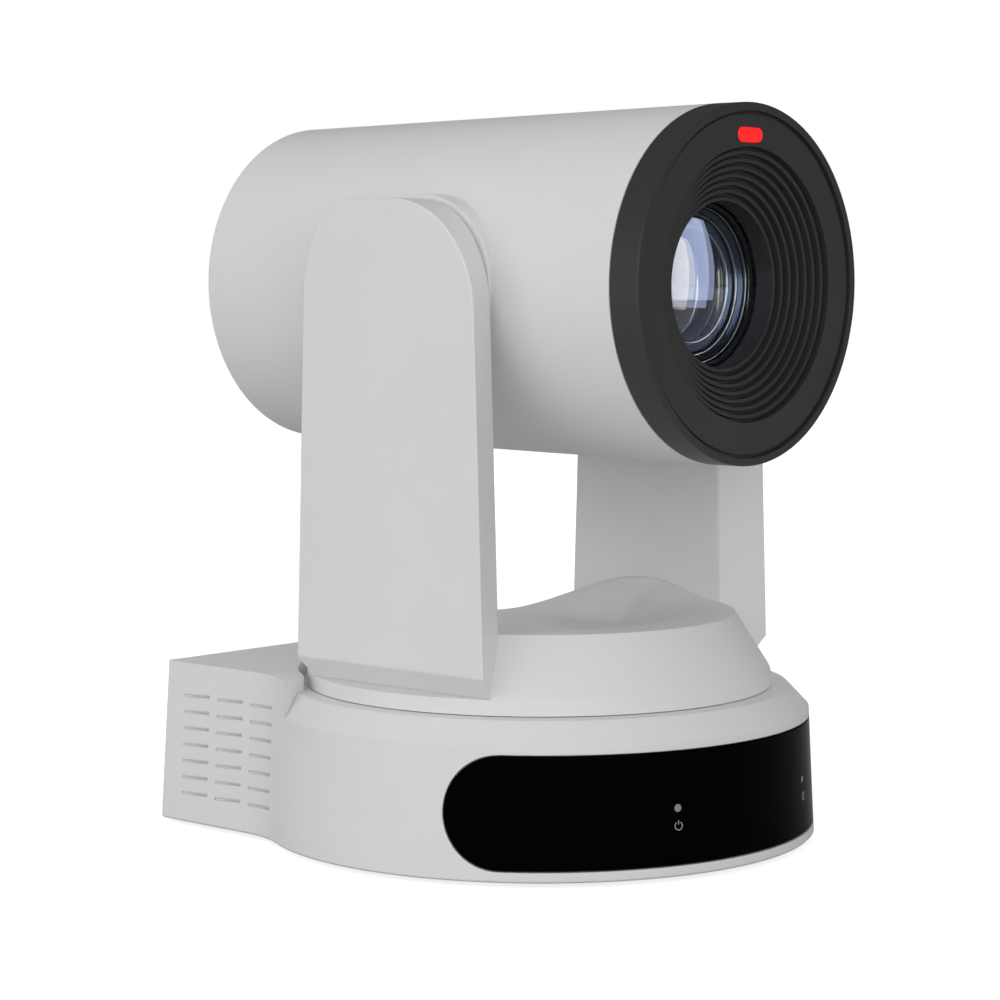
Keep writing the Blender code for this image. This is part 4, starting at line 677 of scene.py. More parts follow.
def screw_tree():
    """Countersunk heads with a cross recess, one on each point of the object's mesh."""
    tree = Tree("cross head screws", Float=("Head Radius", "Head Height", "Recess"))
    value = tree.value
    segments, taper, bar_reach = 40, 0.55, 5.0
    head = tree.node("GeometryNodeMeshCone", {
        "Vertices": segments, "Radius Top": tree.math("MULTIPLY", value("Head Radius"), taper),
        "Radius Bottom": value("Head Radius"), "Depth": value("Head Height")})
    sunk = tree.node("GeometryNodeMeshBoolean", {"Mesh 1": head.outputs["Mesh"]}, operation="DIFFERENCE",
                     solver="EXACT")
    long = tree.math("MULTIPLY", value("Recess"), bar_reach)
    for sizes in ({"X": long, "Y": value("Recess")}, {"X": value("Recess"), "Y": long}):
        bar = tree.node("GeometryNodeMeshCube", {"Size": tree.vector(**sizes, Z=value("Head Height"))})
        tree.group.links.new(bar.outputs["Mesh"], sunk.inputs["Mesh 2"])
    tree.finish(tree.on_points(sunk.outputs[0]))
    return tree


def foot_tree():
    """Round rubber pads with a soft lower edge, one on each point of the object's mesh."""
    tree = Tree("rubber feet", Float=("Radius", "Height", "Edge"))
    value = tree.value
    segments = 56
    pad = tree.node("GeometryNodeJoinGeometry")
    upper = tree.math("SUBTRACT", value("Height"), value("Edge"))
    parts = ((upper, value("Radius"), value("Edge")),
             (value("Edge"), tree.math("SUBTRACT", value("Radius"), value("Edge")), 0.0))
    for depth, low_radius, level in parts:
        cone = tree.node("GeometryNodeMeshCone", {"Vertices": segments, "Radius Top": value("Radius"),
                                                  "Radius Bottom": low_radius, "Depth": depth})
        raised = tree.node("GeometryNodeTransform", {"Geometry": cone.outputs["Mesh"],
                                                     "Translation": tree.vector(Z=level)})
        tree.group.links.new(raised.outputs[0], pad.inputs[0])
    tree.finish(tree.on_points(pad.outputs[0]))
    return tree


# Finishes


class Shader:
    """A material under construction round one Principled shader."""

    def __init__(self, name, **constants):
        self.material = bpy.data.materials.new(name)
        self.material.use_nodes = True
        self.tree = self.material.node_tree
        self.main = self.tree.nodes["Principled BSDF"]
        self.node = partial(add_node, self.tree)
        for key, setting in constants.items():
            self.main.inputs[key.replace("_", " ")].default_value = setting

    def feed(self, name, source):
        self.tree.links.new(source, self.main.inputs[name])

    def group(self, tree, **values):
        made = self.node("ShaderNodeGroup", node_tree=tree)
        for key, setting in values.items():
            made.inputs[key.replace("_", " ")].default_value = setting
        return made

    def relief(self, height, strength, distance, edge=0.0):
        """Bump over the surface's own normal, or over softened edges."""
        bump = self.node("ShaderNodeBump", {"Height": height, "Strength": strength, "Distance": distance})
        if edge > 0.0:
            soft = self.node("ShaderNodeBevel", {"Radius": edge}, samples=EDGE_SAMPLES)
            self.tree.links.new(soft.outputs[0], bump.inputs["Normal"])
        self.feed("Normal", bump.outputs[0])

    def skin(self, tree, strength, distance, edge=0.0, **values):
        """Takes colour, gloss and relief from a shader group."""
        made = self.group(tree, **values)
        self.feed("Base Color", made.outputs["Colour"])
        self.feed("Roughness", made.outputs["Roughness"])
        self.relief(made.outputs["Height"], strength, distance, edge)
        return made


def skin_group(name, *inputs):
    """A shader group that puts out colour, roughness and height, with its input sockets and node maker."""
    tree = bpy.data.node_groups.new(name, "ShaderNodeTree")
    for label, kind, default in inputs:
        made = tree.interface.new_socket(label, in_out="INPUT", socket_type="NodeSocket" + kind)
        made.default_value = default
    for label, kind in (("Colour", "Color"), ("Roughness", "Float"), ("Height", "Float")):
        tree.interface.new_socket(label, in_out="OUTPUT", socket_type="NodeSocket" + kind)
    return tree, tree.nodes.new("NodeGroupInput").outputs, partial(add_node, tree)


def moulded_grain():
    """Fine spark-eroded grain with a faint drift of tone and gloss, as on moulded plastic and rubber."""
    tree, value, node = skin_group("moulded grain", ("Colour", "Color", (0.5, 0.5, 0.5, 1.0)),
                                   ("Drift", "Float", 0.03), ("Grain", "Float", GRAIN),
                                   ("Low Gloss", "Float", 0.5), ("High Gloss", "Float", 0.42))
    cloud, thin, thick = 38.0, 0.3, 0.7
    place = node("ShaderNodeTexCoord").outputs["Object"]
    fine = node("ShaderNodeTexNoise", {"Vector": place, "Scale": value["Grain"], "Detail": 2.0})
    broad = node("ShaderNodeTexNoise", {"Vector": place, "Scale": cloud, "Detail": 3.0})
    low = node("ShaderNodeMath", {0: 1.0, 1: value["Drift"]}, operation="SUBTRACT")
    tone = node("ShaderNodeMapRange", {"Value": broad.outputs["Fac"], "From Min": thin, "From Max": thick,
                                       "To Min": low.outputs[0], "To Max": 1.0})
    shade = node("ShaderNodeVectorMath", {0: value["Colour"], "Scale": tone.outputs[0]}, operation="SCALE")
    gloss = node("ShaderNodeMapRange", {"Value": broad.outputs["Fac"], "From Min": thin, "From Max": thick,
                                        "To Min": value["Low Gloss"], "To Max": value["High Gloss"]})
    node("NodeGroupOutput", {"Colour": shade.outputs[0], "Roughness": gloss.outputs[0],
                             "Height": fine.outputs["Fac"]})
    return tree


def turned_metal():
    """Fine lines with a little variation of gloss, as on drawn, plated or turned metal."""
    tree, value, node = skin_group("drawn metal", ("Colour", "Color", (0.6, 0.6, 0.6, 1.0)),
                                   ("Lines", "Float", 900.0), ("Low Gloss", "Float", 0.4),
                                   ("High Gloss", "Float", 0.25))
    stretch, dull, bright = (1.0, 0.06, 1.0), 0.9, 1.02
    place = node("ShaderNodeTexCoord").outputs["Object"]
    stretched = node("ShaderNodeMapping", {"Vector": place, "Scale": stretch})
    lines = node("ShaderNodeTexNoise", {"Vector": stretched.outputs[0], "Scale": value["Lines"],
                                        "Detail": 3.0})
    tone = node("ShaderNodeMapRange", {"Value": lines.outputs["Fac"], "To Min": dull, "To Max": bright})
    shade = node("ShaderNodeVectorMath", {0: value["Colour"], "Scale": tone.outputs[0]}, operation="SCALE")
    gloss = node("ShaderNodeMapRange", {"Value": lines.outputs["Fac"], "To Min": value["Low Gloss"],
                                        "To Max": value["High Gloss"]})
    node("NodeGroupOutput", {"Colour": shade.outputs[0], "Roughness": gloss.outputs[0],
                             "Height": lines.outputs["Fac"]})
    return tree


def plastic(grain, name, tone, drift, gloss, relief, edge=0.0, pitch=GRAIN, **constants):
    """Moulded plastic or rubber. Gloss is its roughness where it is dullest and where it shines most."""
    shader = Shader(name, **constants)
    shader.skin(grain, relief, GRAIN_DEPTH, edge, Colour=(*tone, 1.0), Drift=drift, Grain=pitch,
                Low_Gloss=gloss[0], High_Gloss=gloss[1])
    return shader.material


def metal(lines, name, tone, gloss):
    """Drawn, plated or turned metal. Gloss is its roughness where it is dullest and where it shines most."""
    shader = Shader(name, Metallic=1.0)
    shader.skin(lines, strength=0.12, distance=LINE_DEPTH, Colour=(*tone, 1.0), Low_Gloss=gloss[0],
                High_Gloss=gloss[1])
    return shader.material


def coated_glass(name, tint, cloud, ior, coating):
    """Clear glass whose coating reflects in a tint, with a faint bloom of dust."""
    shader = Shader(name, Transmission_Weight=1.0, IOR=ior, Specular_Tint=(*tint, 1.0), Metallic=0.0,
                    Specular_IOR_Level=coating)
    clean, dusty, most_haze, least_clear = 0.35, 0.8, 0.004, 0.97
    place = shader.node("ShaderNodeTexCoord").outputs["Object"]
    bloom = shader.node("ShaderNodeTexNoise", {"Vector": place, "Scale": cloud, "Detail": 4.0})
    haze = shader.node("ShaderNodeMapRange", {"Value": bloom.outputs["Fac"], "From Min": clean,
                                              "From Max": dusty, "To Min": 0.0, "To Max": most_haze})
    shade = shader.node("ShaderNodeMapRange", {"Value": bloom.outputs["Fac"], "To Min": least_clear,
                                               "To Max": 1.0})
    clear = shader.node("ShaderNodeCombineColor", {"Red": shade.outputs[0], "Green": shade.outputs[0],
                                                   "Blue": 1.0})
    shader.feed("Base Color", clear.outputs[0])
    shader.feed("Roughness", haze.outputs[0])
    return shader.material


def circuit_board(grain):
    """Green solder mask over a faint grid of tracks."""
    shader = Shader("board_green", Specular_IOR_Level=0.5)
    greens = {"Color1": (0.012, 0.10, 0.04, 1.0), "Color2": (0.016, 0.13, 0.05, 1.0),
              "Mortar": (0.05, 0.21, 0.09, 1.0)}
    place = shader.node("ShaderNodeTexCoord").outputs["Object"]
    tracks = shader.node("ShaderNodeTexBrick", {"Vector": place, "Scale": 260.0, "Mortar Size": 0.06,
                                                **greens})
    gloss = shader.group(grain, Low_Gloss=0.45, High_Gloss=0.3)
    shader.feed("Base Color", tracks.outputs["Color"])
    shader.feed("Roughness", gloss.outputs["Roughness"])
    shader.relief(tracks.outputs["Fac"], strength=0.2, distance=LINE_DEPTH)
    return shader.material


def lit_lamp(grain, name, tone):
    """A lit plastic lens with a faint drift of tone."""
    shader = Shader(name, Emission_Strength=1.0)
    skin = shader.skin(grain, strength=0.1, distance=GRAIN_DEPTH / 2.0, edge=0.0004, Colour=(*tone, 1.0),
                       Drift=0.06, Low_Gloss=0.35, High_Gloss=0.25)
    shader.feed("Emission Color", skin.outputs["Colour"])
    return shader.material


FINISH = {}


def make_finishes(finishes):
    """Makes every finish, under the name of its slot or of the pieces that have it."""
    grain, lines = moulded_grain(), turned_metal()
    moulded, drawn = partial(plastic, grain), partial(metal, lines)
    pale = dict(tone=finishes.shell, drift=0.025, gloss=(0.50, 0.42), relief=0.10, Specular_IOR_Level=0.35)
    FINISH.update(
        pale_plastic=moulded("pale_shell", edge=0.0005, **pale),
        pale_plain=moulded("pale_shell_plain", **pale),
        black_window=moulded("window_black", finishes.window, drift=0.20, gloss=(0.16, 0.08), relief=0.02,
                             edge=0.0003, Specular_IOR_Level=0.02),
        black_bezel=moulded("bezel_black", finishes.bezel, drift=0.10, gloss=(0.46, 0.38), relief=0.12,
                            edge=0.00025, pitch=3200.0, Specular_IOR_Level=0.5),
        light_pipe=moulded("indicator_pipe", finishes.pipe, drift=0.08, gloss=(0.45, 0.35), relief=0.05),
        tally_red=lit_lamp(grain, "tally_lamp", finishes.tally),
        lens_glass=coated_glass("group_glass", finishes.inner_coating, cloud=60.0, ior=1.6, coating=0.3),
        front_glass=coated_glass("front_glass", finishes.coating, cloud=40.0, ior=1.75, coating=1.0),
        zinc_sheet=drawn("zinc_sheet", (0.60, 0.61, 0.62), gloss=(0.46, 0.32)),
        nickel_steel=drawn("nickel_plate", (0.66, 0.64, 0.61), gloss=(0.34, 0.2)),
        brass=drawn("turned_brass", (0.75, 0.55, 0.26), gloss=(0.34, 0.22)),
        black_rubber=moulded("foot_rubber", (0.02, 0.02, 0.02), drift=0.25, gloss=(0.9, 0.78), relief=0.5,
                             pitch=1500.0),
        black_plastic=moulded("black_moulding", (0.014, 0.014, 0.014), drift=0.2, gloss=(0.6, 0.45),
                              relief=0.2),
        white_nylon=moulded("nylon_gear", (0.72, 0.70, 0.65), drift=0.05, gloss=(0.55, 0.42), relief=0.1),
        circuit_board=circuit_board(grain),
        dark_panel=moulded("socket_panel", finishes.panel, drift=0.12, gloss=(0.62, 0.5), relief=0.35,
                           edge=0.0002, pitch=1800.0),
        ring_gloss=moulded("ring_gloss", (0.006, 0.006, 0.007), drift=0.2, gloss=(0.14, 0.08), relief=0.02,
                           Specular_IOR_Level=1.0, IOR=2.2, Specular_Tint=(0.75, 0.87, 1.0, 1.0)),
        ring_band=moulded("ring_band", (0.004, 0.005, 0.010), drift=0.2, gloss=(0.24, 0.16), relief=0.02,
                          Specular_IOR_Level=0.5, IOR=1.9, Specular_Tint=(0.40, 0.55, 1.0, 1.0)),
        print_grey=moulded("pad_print", (0.42, 0.42, 0.42), drift=0.12, gloss=(0.6, 0.5), relief=0.05),
        lens_black=moulded("lens_black", (0.005, 0.006, 0.010), drift=0.2, gloss=(0.5, 0.35), relief=0.1,
                           edge=0.0002),
    )


# Pieces


def shoulder_relief(base):
    """What is cut away over the sloping shoulder, all round but for the raised rear box."""
    beyond, above = 0.004, 0.010
    start = base.draft * base.shoulder_start
    slope = (base.shoulder_height - base.shoulder_start) / base.shoulder_inset
    rings = ((start + base.shoulder_inset, base.shoulder_height),
             (start - beyond, base.shoulder_start - beyond * slope),
             (start - beyond, base.box_height + above))
    relief = bare_object(loft([base_ring(base, inset, height) for inset, height in rings]), "relief")
    half, front = base.box_front_half, base.box_front
    tip = front - base.box_slant * (FAR - half)
    rear_box = [(-FAR, tip), (-half, front), (half, front), (FAR, tip), (FAR, FAR), (-FAR, FAR)]
    cut(relief, prism(rear_box, 0.0, FAR))
    return taken(relief)


def base_cavity(base):
    """The hollow of the base moulding, with a sloping roof under the shoulder."""
    below, roof_run, roof_wall = 0.001, 0.0055, 0.0022
    roof = base.shoulder_start - base.wall
    inset = base.wall + base.draft * roof
    return loft([base_ring(base, base.wall, -below), base_ring(base, inset, roof),
                 base_ring(base, inset + roof_run, base.shoulder_height - roof_wall)])


def louvre_tools(base):
    """The blocks that cut the louvres of the right side."""
    middle = base.vent_lowest + base.vent_row_pitch * (base.vent_rows - 1) / 2.0
    centre = base.vent_first + base.vent_column_pitch * (base.vent_columns - 1) / 2.0
    inset = base.draft * middle
    field = grown(louvre_tree(), "louvres", {
        "Rows": base.vent_rows, "Columns": base.vent_columns, "Row Pitch": base.vent_row_pitch,
        "Column Pitch": base.vent_column_pitch, "Length": base.vent_length, "Slot": base.vent_slot,
        "Depth": base.vent_depth, "Slope": base.vent_slope, "Ramp": base.vent_ramp, "Lean": base.draft,
        "Bend Start": blend_middle(base)[1] - centre, "Bend Radius": base.blend_radius + inset,
        "Block": LOUVRE_BLOCK})
    return moved(taken(field), at(base.box_half_width - inset, centre, base.foot_proud + middle))


def build_housing(base):
    """The base moulding with its shoulder, raised rear box, turntable well, louvres and openings."""
    lower_edge, pocket_reach, panel_room = 0.0004, 0.003, 0.004
    rings = ((lower_edge, 0.0), (0.0, lower_edge), (base.draft * base.box_height, base.box_height))
    housing = bare_object(loft([base_ring(base, inset, height) for inset, height in rings]), "base_moulding")
    cut(housing, shoulder_relief(base))
    cut(housing, cylinder(base.well_radius, base.foot_proud + base.shoulder_height, FAR, 192))
    cut(housing, base_cavity(base))
    cut(housing, curved_plate(base, base.window_half_length + GAP, base.window_half_height + GAP,
                              pocket_reach, -base.window_thickness - GAP))
    low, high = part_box("rear_panel")
    cut(housing, box((low.x - GAP, high.x + GAP), (low.y - base.pan_axis - panel_room, FAR),
                     (low.z - GAP, high.z + GAP)))
    slots = louvre_tools(base)
    mirrored = moved(slots.copy(), MIRROR_X)
    cut(housing, slots, mirrored)
    finish(housing, "pale_plastic", "base", "base_housing")


def printed(base, rows):
    """A thin printed mark on the window, through pairs of places on its two edges."""
    sunk, proud = -0.0002, 0.00003
    return loft([[on_wall(base, *left, sunk), on_wall(base, *left, proud), on_wall(base, *right, proud),
                  on_wall(base, *right, sunk)] for left, right in rows])


def indicator_signs(base, face):
    """An open ring with an upper bar under the left indicator, a whole ring with a bar under the right."""
    drop, radius, width = -0.0042, 0.0011, 0.00022
    open_ring, whole_ring = (math.radians(125), math.radians(415)), (0.0, 0.9999 * TURN)
    upper_bar, middle_bar = (0.0003, 0.0013), (-0.0006, 0.0006)
    along = base.light_angle * face

    def ring(x, start, end):
        edges = [arc((x, drop), reach, start, end, steps=40) for reach in (radius, radius - width)]
        return printed(base, zip(*edges))

    def bar(x, low, high):
        return printed(base, [((x - width / 2.0, drop + rise), (x + width / 2.0, drop + rise))
                              for rise in (low, high)])

    return merged(ring(-along, *open_ring), bar(-along, *upper_bar), ring(along, *whole_ring),
                  bar(along, *middle_bar))


def build_window(base):
    """The black wrap-round window, its two indicators and a generic sign under each."""
    window_edge, hole_play, hole_reach = 0.0002, 0.0001, 0.010
    pipe_length, dome, dome_edge = 0.004, 0.00005, 0.0003
    face = wall_radius(base, base.window_middle)
    window = bare_object(curved_plate(base, base.window_half_length, base.window_half_height, 0.0,
                                      -base.window_thickness, window_edge), "wrap_window")
    holes = [moved(cylinder(base.light_radius + hole_play, face - hole_reach, face + hole_reach, 40),
                   light_matrix(base, side)) for side in (-1, 1)]
    cut(window, merged(*holes))
    finish(window, "black_window", "base", "front_window")
    for side, name, node in ((-1, "standby_dot", "standby_light"), (1, "power_dot", "power_light")):
        profile = rounded([(0.0, face - pipe_length), (base.light_radius, face - pipe_length),
                           (base.light_radius, face - dome, dome_edge), (0.0, face)], 5, False)
        finish(turned(profile, 40, light_matrix(base, side), name), "light_pipe", "base", node)
    signs = bare_object(indicator_signs(base, face), "indicator_signs")
    finish(signs, "print_grey", "base", slot="light_pipe")


def head_clearance(table, head, x):
    """How far from the tilt axis the deck must stay at a place across, so that the head's rear passes."""
    chord = math.sqrt(max(0.0, head.rear_radius ** 2 - x * x))
    return math.hypot(head.rear, chord) + table.sweep_clearance


def eased(share):
    share = min(1.0, max(0.0, share))
    return share * share * (3.0 - 2.0 * share)


def soft_minimum(first, second, blend):
    """The lesser of two values, rounded off where they meet."""
    share = max(0.0, blend - abs(first - second)) / blend
    return min(first, second) - share * share * blend / 4.0


def deck_level(table, head, x, y):
    """Height of the deck: a valley that clears the head, and a hump by each arm, lower to the rear."""
    ahead = min(y, 0.0) ** 2
    ceiling = head.tilt_height - math.sqrt(head_clearance(table, head, x) ** 2 - ahead)
    valley = head.tilt_height - math.sqrt(head_clearance(table, head, 0.0) ** 2 - ahead)
    floor = soft_minimum(table.deck_height, valley, table.deck_blend)
    full = eased((math.hypot(x, y) - table.scoop_start) / table.scoop_run) * eased(-y / table.scoop_front)
    floor += (soft_minimum(table.deck_height, ceiling, table.deck_blend) - floor) * full
    foot, reach = table.deck_height, table.hump_front_reach
    if y > table.hump_peak:
        foot, reach = valley, table.hump_rear_reach
    fall = min(1.0, abs(y - table.hump_peak) / reach)
    ridge = foot + (table.hump_height - foot) * (1.0 + math.cos(math.pi * fall)) / 2.0
    rise = eased((abs(x) - table.valley_half_width) / (table.arm_inner - table.valley_half_width))
    level = floor + (ridge - floor) * rise
    return soft_minimum(level, ceiling, table.hump_blend) if abs(x) < head.rear_radius else level


def deck_cutter(base, table, head):
    """Everything above the deck: a scoop that clears the head, between two humps that meet the arms."""
    half_columns, rows, past_rim = 28, 110, 0.002
    columns = [table.arm_inner * i / half_columns for i in range(half_columns + 1)] + [FAR]
    columns = [-x for x in columns[:0:-1]] + columns
    reach = table.rim_radius + past_rim
    bm = bmesh.new()
    low, high = [], []
    for row in range(rows + 1):
        y = reach * (2.0 * row / rows - 1.0)
        low.append([bm.verts.new((x, y, base.foot_proud + deck_level(table, head, x, y))) for x in columns])
        high.append([bm.verts.new((x, y, FAR)) for x in columns])
    last = len(columns) - 1
    for i in range(rows):
        for j in range(last):
            bm.faces.new((low[i][j], low[i + 1][j], low[i + 1][j + 1], low[i][j + 1]))
            bm.faces.new((high[i][j], high[i][j + 1], high[i + 1][j + 1], high[i + 1][j]))
        for j in (0, last):
            bm.faces.new((low[i][j], low[i + 1][j], high[i + 1][j], high[i][j]))
    for j in range(last):
        for i in (0, rows):
            bm.faces.new((low[i][j], low[i][j + 1], high[i][j + 1], high[i][j]))
    bmesh.ops.triangulate(bm, faces=bm.faces)
    return bm


def arm_outline(table, section, inset, bottom):
    """Arm outline in Y and Z. Section 0 is the face by the head and 1 the outer face."""
    top = table.arm_top - inset
    half = table.arm_foot + table.arm_flare * section - inset - table.arm_narrowing
    shoulder = table.arm_top - table.arm_front_round
    foot = half + table.arm_narrowing * (shoulder - bottom) / (shoulder - table.rim_height)
    flat_front, flat_rear = -0.0015, half / 2.0
    front, rear = table.arm_front_round, table.arm_rear_round
    quarter = math.pi / 2.0
    outline = [(-foot, bottom)]
    outline += [(flat_front - (half + flat_front) * x, top - front + front * z)
                for x, z in arc((0.0, 0.0), 1.0, 0.0, quarter, steps=40)]
    outline += [(flat_rear + (half - flat_rear) * x, top - rear + rear * z)
                for x, z in arc((0.0, 0.0), 1.0, quarter, 0.0, steps=36)]
    return outline + [(foot, bottom)]


def arm_solid(base, table, side, sections, bottom):
    """A solid through arm outlines. A section is a place across and the inset of its outline."""
    span = table.arm_outer - table.arm_inner
    return loft([[(side * x, y, base.foot_proud + z)
                  for y, z in arm_outline(table, (x - table.arm_inner) / span, inset, bottom)]
                 for x, inset in sections])


def build_turntable(base, table, head):
    """The turning cover: rim, cone, scooped deck and the pockets that the arms stand in."""
    foot_edge, rim_edge, over_humps, past_rim = 0.0001, 0.0012, 0.0015, 0.003
    shoulder_play, hollow_radius, hollow_height, below = 0.0002, 0.042, 0.008, 0.001
    low = base.foot_proud + base.shoulder_height + shoulder_play
    slope = (table.rim_radius - table.deck_radius) / (table.deck_height - table.rim_height)
    summit = table.hump_height + over_humps
    profile = rounded([(0.0, low), (table.rim_radius, low, foot_edge),
                       (table.rim_radius, base.foot_proud + table.rim_height, rim_edge),
                       (table.rim_radius - slope * (summit - table.rim_height), base.foot_proud + summit),
                       (0.0, base.foot_proud + summit)], 5, False)
    cover = bare_object(revolve(profile, 224), "turntable_moulding")
    cut(cover, deck_cutter(base, table, head))
    sections = ((table.arm_inner + LAP, LAP), (table.rim_radius + past_rim, LAP))
    for side in (-1, 1):
        cut(cover, arm_solid(base, table, side, sections, table.rim_height))
    cut(cover, cylinder(hollow_radius, low - below, low + hollow_height, 96))
    finish(cover, "pale_plain", "turntable", "turntable_cover", slot="pale_plastic", sharp=24.0)


def foot_wedge(base, table, side, bottom, rise):
    """What lies outside the sloping underside of an arm, raised by a rise, with a soft bend to the face."""
    slope = math.atan2(table.chamfer_height, table.chamfer_width)
    reach = 2.0 * table.chamfer_width
    level = base.foot_proud + bottom + rise
    lowest = level - reach * math.tan(slope)
    bend = table.foot_bend
    top = level + table.chamfer_height + bend * math.tan(math.pi / 4.0 - slope / 2.0)
    corners = [(table.arm_outer - table.chamfer_width - reach, lowest)]
    corners += arc((table.arm_outer - bend, top), bend, slope - math.pi / 2.0, 0.0, steps=6)
    corners += [(table.arm_outer + reach, top), (table.arm_outer + reach, lowest)]
    return loft([[(side * x, y, z) for x, z in corners] for y in (-FAR, FAR)])


def build_arms(base, table, head):
    """Two tapering arm covers with rounded outer edges, each closed by a plate on the head's side."""
    lift, below, beside = 0.00004, 0.01, 0.002
    plate_play, plate_thickness, plate_rise, shaft_hole = 0.00001, 0.0022, 0.0085, 0.0063
    bottom = table.rim_height + lift
    inner, outer, wall = table.arm_inner, table.arm_outer, table.arm_wall
    soft, edge = table.arm_inner_edge, table.arm_edge
    sections = (arc((inner + soft, soft), soft, math.pi, 1.5 * math.pi, steps=4)
                + arc((outer - edge, edge), edge, -math.pi / 2.0, 0.0, steps=6))
    axis = at(0.0, 0.0, base.foot_proud + head.tilt_height) @ ALONG_X
    for side, name in ((-1, "left"), (1, "right")):
        cover = bare_object(arm_solid(base, table, side, sections, bottom), name + "_arm_moulding")
        hollow = bare_object(arm_solid(base, table, side, ((inner - beside, wall), (outer - wall, wall)),
                                       bottom - below), "hollow")
        cut(hollow, foot_wedge(base, table, side, bottom, 1.5 * wall))
        cut(cover, taken(hollow), foot_wedge(base, table, side, bottom, 0.0))
        finish(cover, "pale_plain", "turntable", name + "_arm_cover", slot="pale_plastic")
        plate = bare_object(arm_solid(base, table, side, ((inner + plate_play, wall - LAP),
                                                          (inner + plate_thickness, wall - LAP)),
                                      bottom + plate_rise), name + "_arm_inner_plate")
        cut(plate, moved(cylinder(shaft_hole, -FAR, FAR, 64), axis))
        finish(plate, "pale_plain", "turntable", name + "_arm_plate", slot="pale_plastic")


def shell_radius(head, y):
    """Outer radius of the head at a distance behind the tilt axis."""
    front = head.bezel_depth - head.front
    return head.bezel_radius + (head.rear_radius - head.bezel_radius) * (y - front) / (head.rear - front)


def head_axis(base, head):
    """The lens axis, along which Z points to the rear."""
    return at(0.0, 0.0, base.foot_proud + head.tilt_height) @ ALONG_Y


def build_head(base, head):
    """The tapering drum with its two collars, and the cap that closes its rear."""
    fine_edge, rear_edge, collar_edge, cap_edge = 0.0002, 0.0009, 0.0004, 0.0005
    collar_bore, collar_root, cap_recess, cap_thickness = 0.0088, 0.003, 0.0008, 0.002
    axis = head_axis(base, head)
    across = at(0.0, 0.0, base.foot_proud + head.tilt_height) @ ALONG_X
    front = head.bezel_depth - head.front + GAP
    radius = shell_radius(head, front)
    profile = rounded([(radius, front, fine_edge), (head.rear_radius, head.rear, rear_edge),
                       (head.rear_radius - head.wall, head.rear, fine_edge), (radius - head.wall, front)], 6)
    shell = turned(profile, 256, axis, "head_drum")
    inner = radius - head.wall - collar_root
    collar = rounded([(collar_bore, inner), (head.collar_radius, inner),
                      (head.collar_radius, head.collar_face, collar_edge),
                      (collar_bore, head.collar_face)], 4)
    join(shell, moved(revolve(collar, 128), across), moved(revolve(collar, 128), MIRROR_X @ across))
    finish(shell, "pale_plastic", "head", "head_shell")
    face = head.rear - cap_recess
    reach = head.rear_radius - head.wall - GAP
    cap = rounded([(0.0, face - cap_thickness), (reach, face - cap_thickness), (reach, face, cap_edge),
                   (0.0, face)], 5, False)
    finish(turned(cap, 192, axis, "drum_rear_cap"), "pale_plastic", "head", "rear_cap")


def build_bezel(base, head):
    """The black front ring with its raised rim, the stepped baffle inside it and the tally light."""
    fine_edge, rim_edge, baffle_edge, baffle_body = 0.0002, 0.0005, 0.00022, 0.0055
    tally_depth, tally_play, tool_reach = 0.0016, 0.0002, 0.005
    axis = head_axis(base, head)
    face, back = head.face_recess - head.front, head.bezel_depth - head.front
    rim = head.bezel_radius - head.rim_width
    groove = rim - head.rim_groove
    profile = rounded([(head.baffle_radius, face), (groove, face, fine_edge),
                       (groove, face + head.rim_groove), (rim, face + head.rim_groove),
                       (rim, -head.front, fine_edge),
                       (head.bezel_radius, -head.front, rim_edge), (head.bezel_radius, back, fine_edge),
                       (head.baffle_radius, back)], 5)
    ring = turned(profile, 256, axis, "bezel_ring")
    tally = at(0.0, 0.0, head.tally_height) @ axis
    sunk = face + tally_depth
    pocket = stadium(head.tally_length + tally_play, head.tally_width + tally_play)
    cut(ring, moved(prism(pocket, face - tool_reach, sunk), tally))
    finish(ring, "black_bezel", "head", "front_bezel")

    baffle = grown(baffle_tree(), "stepped_baffle", {
        "Radius": head.baffle_radius, "Steps": head.baffle_steps, "Step Width": head.baffle_width,
        "Step Depth": head.baffle_depth, "Groove Width": head.groove_width, "Groove Depth": head.groove_depth,
        "Body": baffle_body, "Edge": baffle_edge, "Segments": 256, "Material": FINISH["black_bezel"]})
    steps = bare_object(moved(taken(baffle), axis @ at(0.0, 0.0, face)), "baffle_rings")
    finish(steps, "black_bezel", "head")

    levels = ((sunk - GAP, 0.0), (face + 0.0002, 0.0), (face - 0.0001, 0.0001), (face - 0.0002, 0.0004))
    lamp = loft([[(x, y, z) for x, y in stadium(head.tally_length - 2.0 * inset,
                                                head.tally_width - 2.0 * inset)] for z, inset in levels])
    finish(bare_object(moved(lamp, tally), "tally_lens"), "tally_red", "head", "tally_light")


def lens_profile(radius, rim, front_sag, back_sag, edge, steps=20):
    """Half a glass element: its rim's front edge at a place, domed to the front and dished behind."""
    shares = [i / steps for i in range(steps + 1)]
    front, back = [[(radius * share, place - sag * (1.0 - share * share)) for share in shares]
                   for sag, place in ((front_sag, rim), (back_sag, rim + edge))]
    return front + back[::-1]


